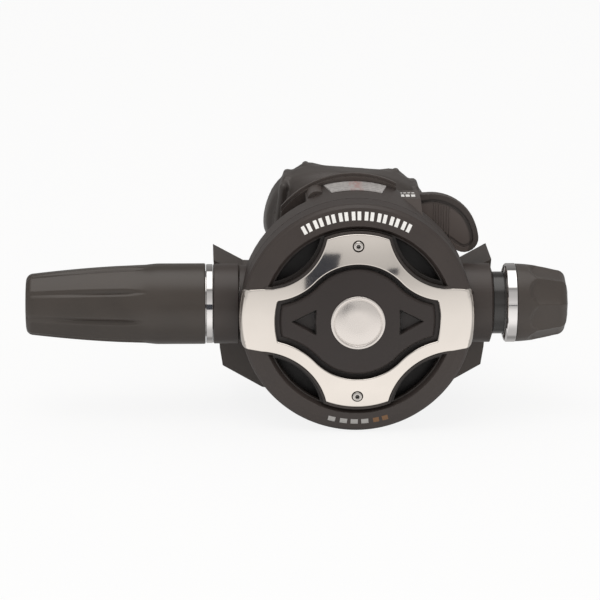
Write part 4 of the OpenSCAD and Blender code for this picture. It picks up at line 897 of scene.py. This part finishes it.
def oval(y, flat, r, e, bow, count=96):
    """A ring with flat as its half flat and r as its side radius; e = 1 makes it an ellipse. Towards the
    shield it is turned a little, drawn in at the sides, and bowed."""
    out = []
    turn = MOUTH_ROLL * min(1.0, max(0.0, (y - MOUTH_Y) / SHIELD_GAP))
    for i in range(count):
        right = i < count // 2
        a = math.radians(-90 + (i % (count // 2) + 0.5) * 360 / count + (0 if right else 180))
        x = (1 if right else -1) * flat * (1 - e) + (r + flat * e) * math.cos(a)
        z = r * math.sin(a)
        if e:
            x *= 1 - SIDE_IN * math.sin(math.pi * min(1.0, max(0.0, (z + 7) / 21)))
        across, up = rolled(x, z, turn)
        out.append((across, y + bow * x * x, up))
    return out


def mouth_shell():
    """The mouthpiece without its bite wings, as one oval after the other from its collar round and back."""
    c, r0, r1 = MOUTH_FLAT, MOUTH_R + 0.15, MOUTH_R + RUBBER
    inner, lip, sc, bow = MOUTH_R - 0.88 * RUBBER, SHIELD_GAP / 10, SHIELD_W - SHIELD_H, 0.22 / CASE_R
    # what oval() takes: y, half flat, side radius, e, bow
    rings = [(GROOVE_Y - 4.4 * lip, c, r0, 0, 0), (GROOVE_Y - 4.4 * lip, c, r1 - 0.5, 0, 0),
             (GROOVE_Y - 3.9 * lip, c, r1, 0, 0), (GROOVE_Y - 0.4, c, r1, 0, 0), (GROOVE_Y, c, r1 - STRAP_IN, 0, 0),
             (GROOVE_Y + STRAP_W + 0.2, c, r1 - STRAP_IN, 0, 0), (GROOVE_Y + STRAP_W + 0.6, c, r1, 0, 0),
             (SHIELD_Y - 5.6 * lip, c, r1, 0, 0), (SHIELD_Y - 3.9 * lip, c, r1 + 0.2, 0, 0),
             (SHIELD_Y - 2.4 * lip, 1.1 * c, r1 + 0.7 * lip, 0.1, bow / 4),
             (SHIELD_Y - 1.1 * lip, 1.23 * c, r1 + 1.4 * lip, 0.2, bow / 2),
             (SHIELD_Y + 0.9 * lip, sc * 0.85, SHIELD_H - 2.3 * lip, 0.5, bow),
             (SHIELD_Y + 2 * lip, sc, SHIELD_H - 1.1 * lip, 0.8, bow),
             (SHIELD_Y + 4 * lip, sc, SHIELD_H - 0.5 * lip, 0.7, bow),
             (SHIELD_Y + SKIRT, sc, SHIELD_H, 0.35, bow),
             (SHIELD_Y + SKIRT + 0.7 * lip, sc, SHIELD_H - 0.3 * lip, 0.35, bow),
             (SHIELD_Y + SKIRT + lip, sc, SHIELD_H - 0.8 * lip, 0.35, bow),
             (SHIELD_Y + SKIRT + 0.9 * lip, sc, SHIELD_H - 1.8 * lip, 0.35, bow),
             (SHIELD_Y + SKIRT + 0.3 * lip, sc, SHIELD_H - 2.5 * lip, 0.35, bow),
             (SHIELD_Y + 5 * lip, sc, SHIELD_H - 2.9 * lip, 0.6, bow),
             (SHIELD_Y + 3.8 * lip, 1.33 * c, MOUTH_R, 0.2, bow),
             (SHIELD_Y + 3.6 * lip, c, inner + 0.2, 0, bow / 2), (SHIELD_Y - 3.3 * lip, c, inner, 0, 0),
             (MOUTH_Y + 1.1 * lip, c, inner, 0, 0), (MOUTH_Y + 0.05, c, MOUTH_R - TUBE_WALL, 0, 0),
             (MOUTH_Y + 0.05, c, r0, 0, 0)]
    return skin([oval(*r) for r in rings])


# a bite wing's sheets; a corner is (across, back, up) in shares of the shield's half width, the
# wing's length and the shield's half height
WING = [
    [(0.34, 0, -0.57), (0.4, 0, 0.75), (0.52, 0.6, 0.9), (0.43, 0.905, 0.52), (0.41, 0.905, -0.34),
     (0.375, 0.667, -0.63)],
    [(0.375, 0, 0), (0.8, 0.048, 0), (0.41, 0.905, 0), (0.683, 0.905, 0)],
    [(0.77, 0, 0.575), (0.8, 0, -0.517), (0.725, 0.571, 0.71), (0.72, 0.714, 0.172), (0.73, 0.619, -0.46)],
    [(0.41, 0.905, -0.316), (0.41, 0.905, 0.374), (0.666, 0.881, 0.287), (0.666, 0.881, -0.23)],
    [(0.52, 0.5, 0.9), (0.36, 0.1, 0.86), (0.05, 0.05, 0.87), (0.2, 0.28, 0.885), (0.44, 0.5, 0.9)],
    [(0.52, 0.5, 0.9), (0.44, 0.1, 0.78), (0.58, 0.2, 0.7), (0.645, 0.5, 0.745)],
    [(0.645, 0.5, 0.72), (0.62, 0.2, 0.66), (0.74, 0.2, 0.68), (0.725, 0.52, 0.74)],
]


def ball(t, centre):
    """Points of a small sphere."""
    out = []
    for b in range(-90, 91, 30):
        for a in range(0, 360, 30):
            lean, turn = math.radians(b), math.radians(a)
            out.append((centre[0] + t * math.cos(lean) * math.cos(turn),
                        centre[1] + t * math.cos(lean) * math.sin(turn), centre[2] + t * math.sin(lean)))
    return out


def rounded_sheet(bm, corners, side):
    """One sheet of a bite wing: the hull of small spheres at its corners."""
    made = []
    for across, back, up in corners:
        x, z = rolled(side * across * SHIELD_W, up * SHIELD_H, MOUTH_ROLL)
        centre = (x, SHIELD_Y + 0.33 * SHIELD_GAP + back * BITE_LEN, z)
        made += [bm.verts.new(tuple(c * MM for c in p)) for p in ball(0.6 * RUBBER, centre)]
    out = bmesh.ops.convex_hull(bm, input=made)
    spare = {v for v in out["geom_interior"] + out["geom_unused"] if isinstance(v, bmesh.types.BMVert)}
    bmesh.ops.delete(bm, geom=list(spare), context="VERTS")


def build_mouthpiece():
    """The shell and the bite wings, melted into one soft skin."""
    o = piece("mouthpiece_skin", mouth_shell(), "mouth", "case", "mouthpiece")
    bm = bmesh.new()
    bm.from_mesh(o.data)
    for side in (-1, 1):
        for corners in WING:
            rounded_sheet(bm, corners, side)
    bm.to_mesh(o.data)
    bm.free()
    melt = o.modifiers.new("melt", "REMESH")
    melt.mode, melt.voxel_size = "VOXEL", 0.5 * MM
    soften = o.modifiers.new("soften", "SMOOTH")
    soften.factor, soften.iterations = 0.5, 6
    bake(o)


def build_strap():
    """The tie round the mouthpiece: a ribbed band, its ratchet head and its cut tail."""
    ri = MOUTH_R + RUBBER - STRAP_IN + 0.05
    y0, y1 = GROOVE_Y + 0.2, GROOVE_Y + STRAP_W
    profile = [(ri, y0), (ri, y1), (ri + 0.9, y1), (ri + STRAP_T, y1 - 0.3), (ri + STRAP_T, y1 - 0.9),
               (ri + 1.05, y1 - 1.0), (ri + 1.05, y0 + 1.0), (ri + STRAP_T, y0 + 0.9), (ri + STRAP_T, y0 + 0.3),
               (ri + 0.9, y0)]
    o = piece("strap_skin", skin([oval(y, MOUTH_FLAT, r, 0, 0, 128) for r, y in profile]), "housing", "case",
              "mouthpiece_strap", 40)
    top = MOUTH_Z + MOUTH_R + RUBBER + 0.05
    bm = bmesh.new()
    bm.from_mesh(o.data)
    for x0, x1, a, b, z0, z1 in ((-3.19, 3.19, y0 - 0.4, y1 + 0.6, top, top + 2.6),
                                 (3.3, 5.6, y0 + 0.6, y1 - 0.6, top + 0.9, top + 1.6)):
        block = bmesh.ops.create_cube(bm, size=MM)
        for v in block["verts"]:
            v.co = Vector(((x0 + x1) / 2 * MM + v.co.x * (x1 - x0), (a + b) / 2 * MM + v.co.y * (b - a),
                           (z0 + z1) / 2 * MM + v.co.z * (z1 - z0)))
        edges = list({e for v in block["verts"] for e in v.link_edges})
        bmesh.ops.bevel(bm, geom=edges, offset=0.3 * MM, segments=3, affect="EDGES", profile=0.6)
    bm.to_mesh(o.data)
    bm.free()
    o.data.shade_smooth()
    o.data.set_sharp_from_angle(angle=math.radians(40))


# ---------------------------------------------------------------- inner soft pieces

NECK_Y, MIDDLE_R, NECK_IN, NECK_R, MEMBRANE_Y = -16.0, 18.0, 31.0, 34.3, -18.6


def build_membrane():
    """The diaphragm with its rolled fold."""
    back = [(0.01, MEMBRANE_Y), (MIDDLE_R, MEMBRANE_Y), (MIDDLE_R + 1.2, MEMBRANE_Y + 0.08),
            (MIDDLE_R + 2.8, NECK_Y - 2.05), (MIDDLE_R + 4.6, NECK_Y - 1.5), (MIDDLE_R + 6, NECK_Y - 0.9),
            (MIDDLE_R + 7.2, NECK_Y - 0.62), (NECK_IN - 2.5, NECK_Y - 0.6), (NECK_IN + 0.2, NECK_Y - 0.02),
            (NECK_R - 0.12, NECK_Y - 0.02)]
    front = [(NECK_R - 0.12, NECK_Y - 0.97), (NECK_IN + 0.4, NECK_Y - 0.97), (NECK_IN - 2.3, NECK_Y - 1.2),
             (MIDDLE_R + 6.8, NECK_Y - 1.25), (MIDDLE_R + 5.2, NECK_Y - 1.85), (MIDDLE_R + 3.4, NECK_Y - 2.5),
             (MIDDLE_R + 1.6, MEMBRANE_Y - 0.62), (MIDDLE_R, MEMBRANE_Y - 0.7), (0.01, MEMBRANE_Y - 0.7)]
    o = piece("membrane", lathe(refine(back + front, 0.8), "y", 144), "silicone", "case", "diaphragm")
    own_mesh(o)


def build_spring():
    """The poppet's coil, in two halves that meet in the middle."""
    x0, x1, r, wire, turns, sides = 10.02, 29.98, 4.6, 0.45, 8, 12
    steps, middle = turns * 32, (x0 + x1) / 2
    rings = []
    for k in range(steps + 1):
        a = 2 * math.pi * turns * k / steps
        x = x0 + wire + (x1 - x0 - 2 * wire) * k / steps
        bends = [2 * math.pi * s / sides for s in range(sides)]
        rings.append([(x + wire * math.sin(b), (r + wire * math.cos(b)) * math.cos(a),
                       (r + wire * math.cos(b)) * math.sin(a)) for b in bends])
    half = steps // 2
    for name, part, joint, travel in (("coil_valve_side", rings[:half + 1], "poppet_slide", 0.5),
                                      ("coil_knob_side", rings[half:], "knob_travel", 2.5)):
        o = piece(name, skin(part, closed=False), "spring_steel", "case", "poppet_spring")
        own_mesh(o)


def build_exhaust_valve():
    """The mushroom valve: a thin disc that droops a little towards its rim, and its stem."""
    y, z, r = 15.52, -15.0, 13.85
    profile = [(0.01, y + 0.88), (2, y + 0.88), (9, y + 0.7), (r - 1, y + 0.42), (r, y + 0.3), (r, y + 0.02),
               (r - 2, y), (3, y), (1.25, y), (1.25, 12.2), (2.0, 11.9), (1.9, 11.2), (0.01, 11.1)]
    piece("exhaust_flap", lathe(profile, "y", 96, centre=(0, z)), "silicone", "case", "exhaust_valve")


build_sleeve()
build_nut()
build_knob()
build_plate()
build_screws()
build_button()
build_badge()
build_marks()
build_ribs()
build_mouthpiece()
build_strap()
build_membrane()
build_spring()
build_exhaust_valve()
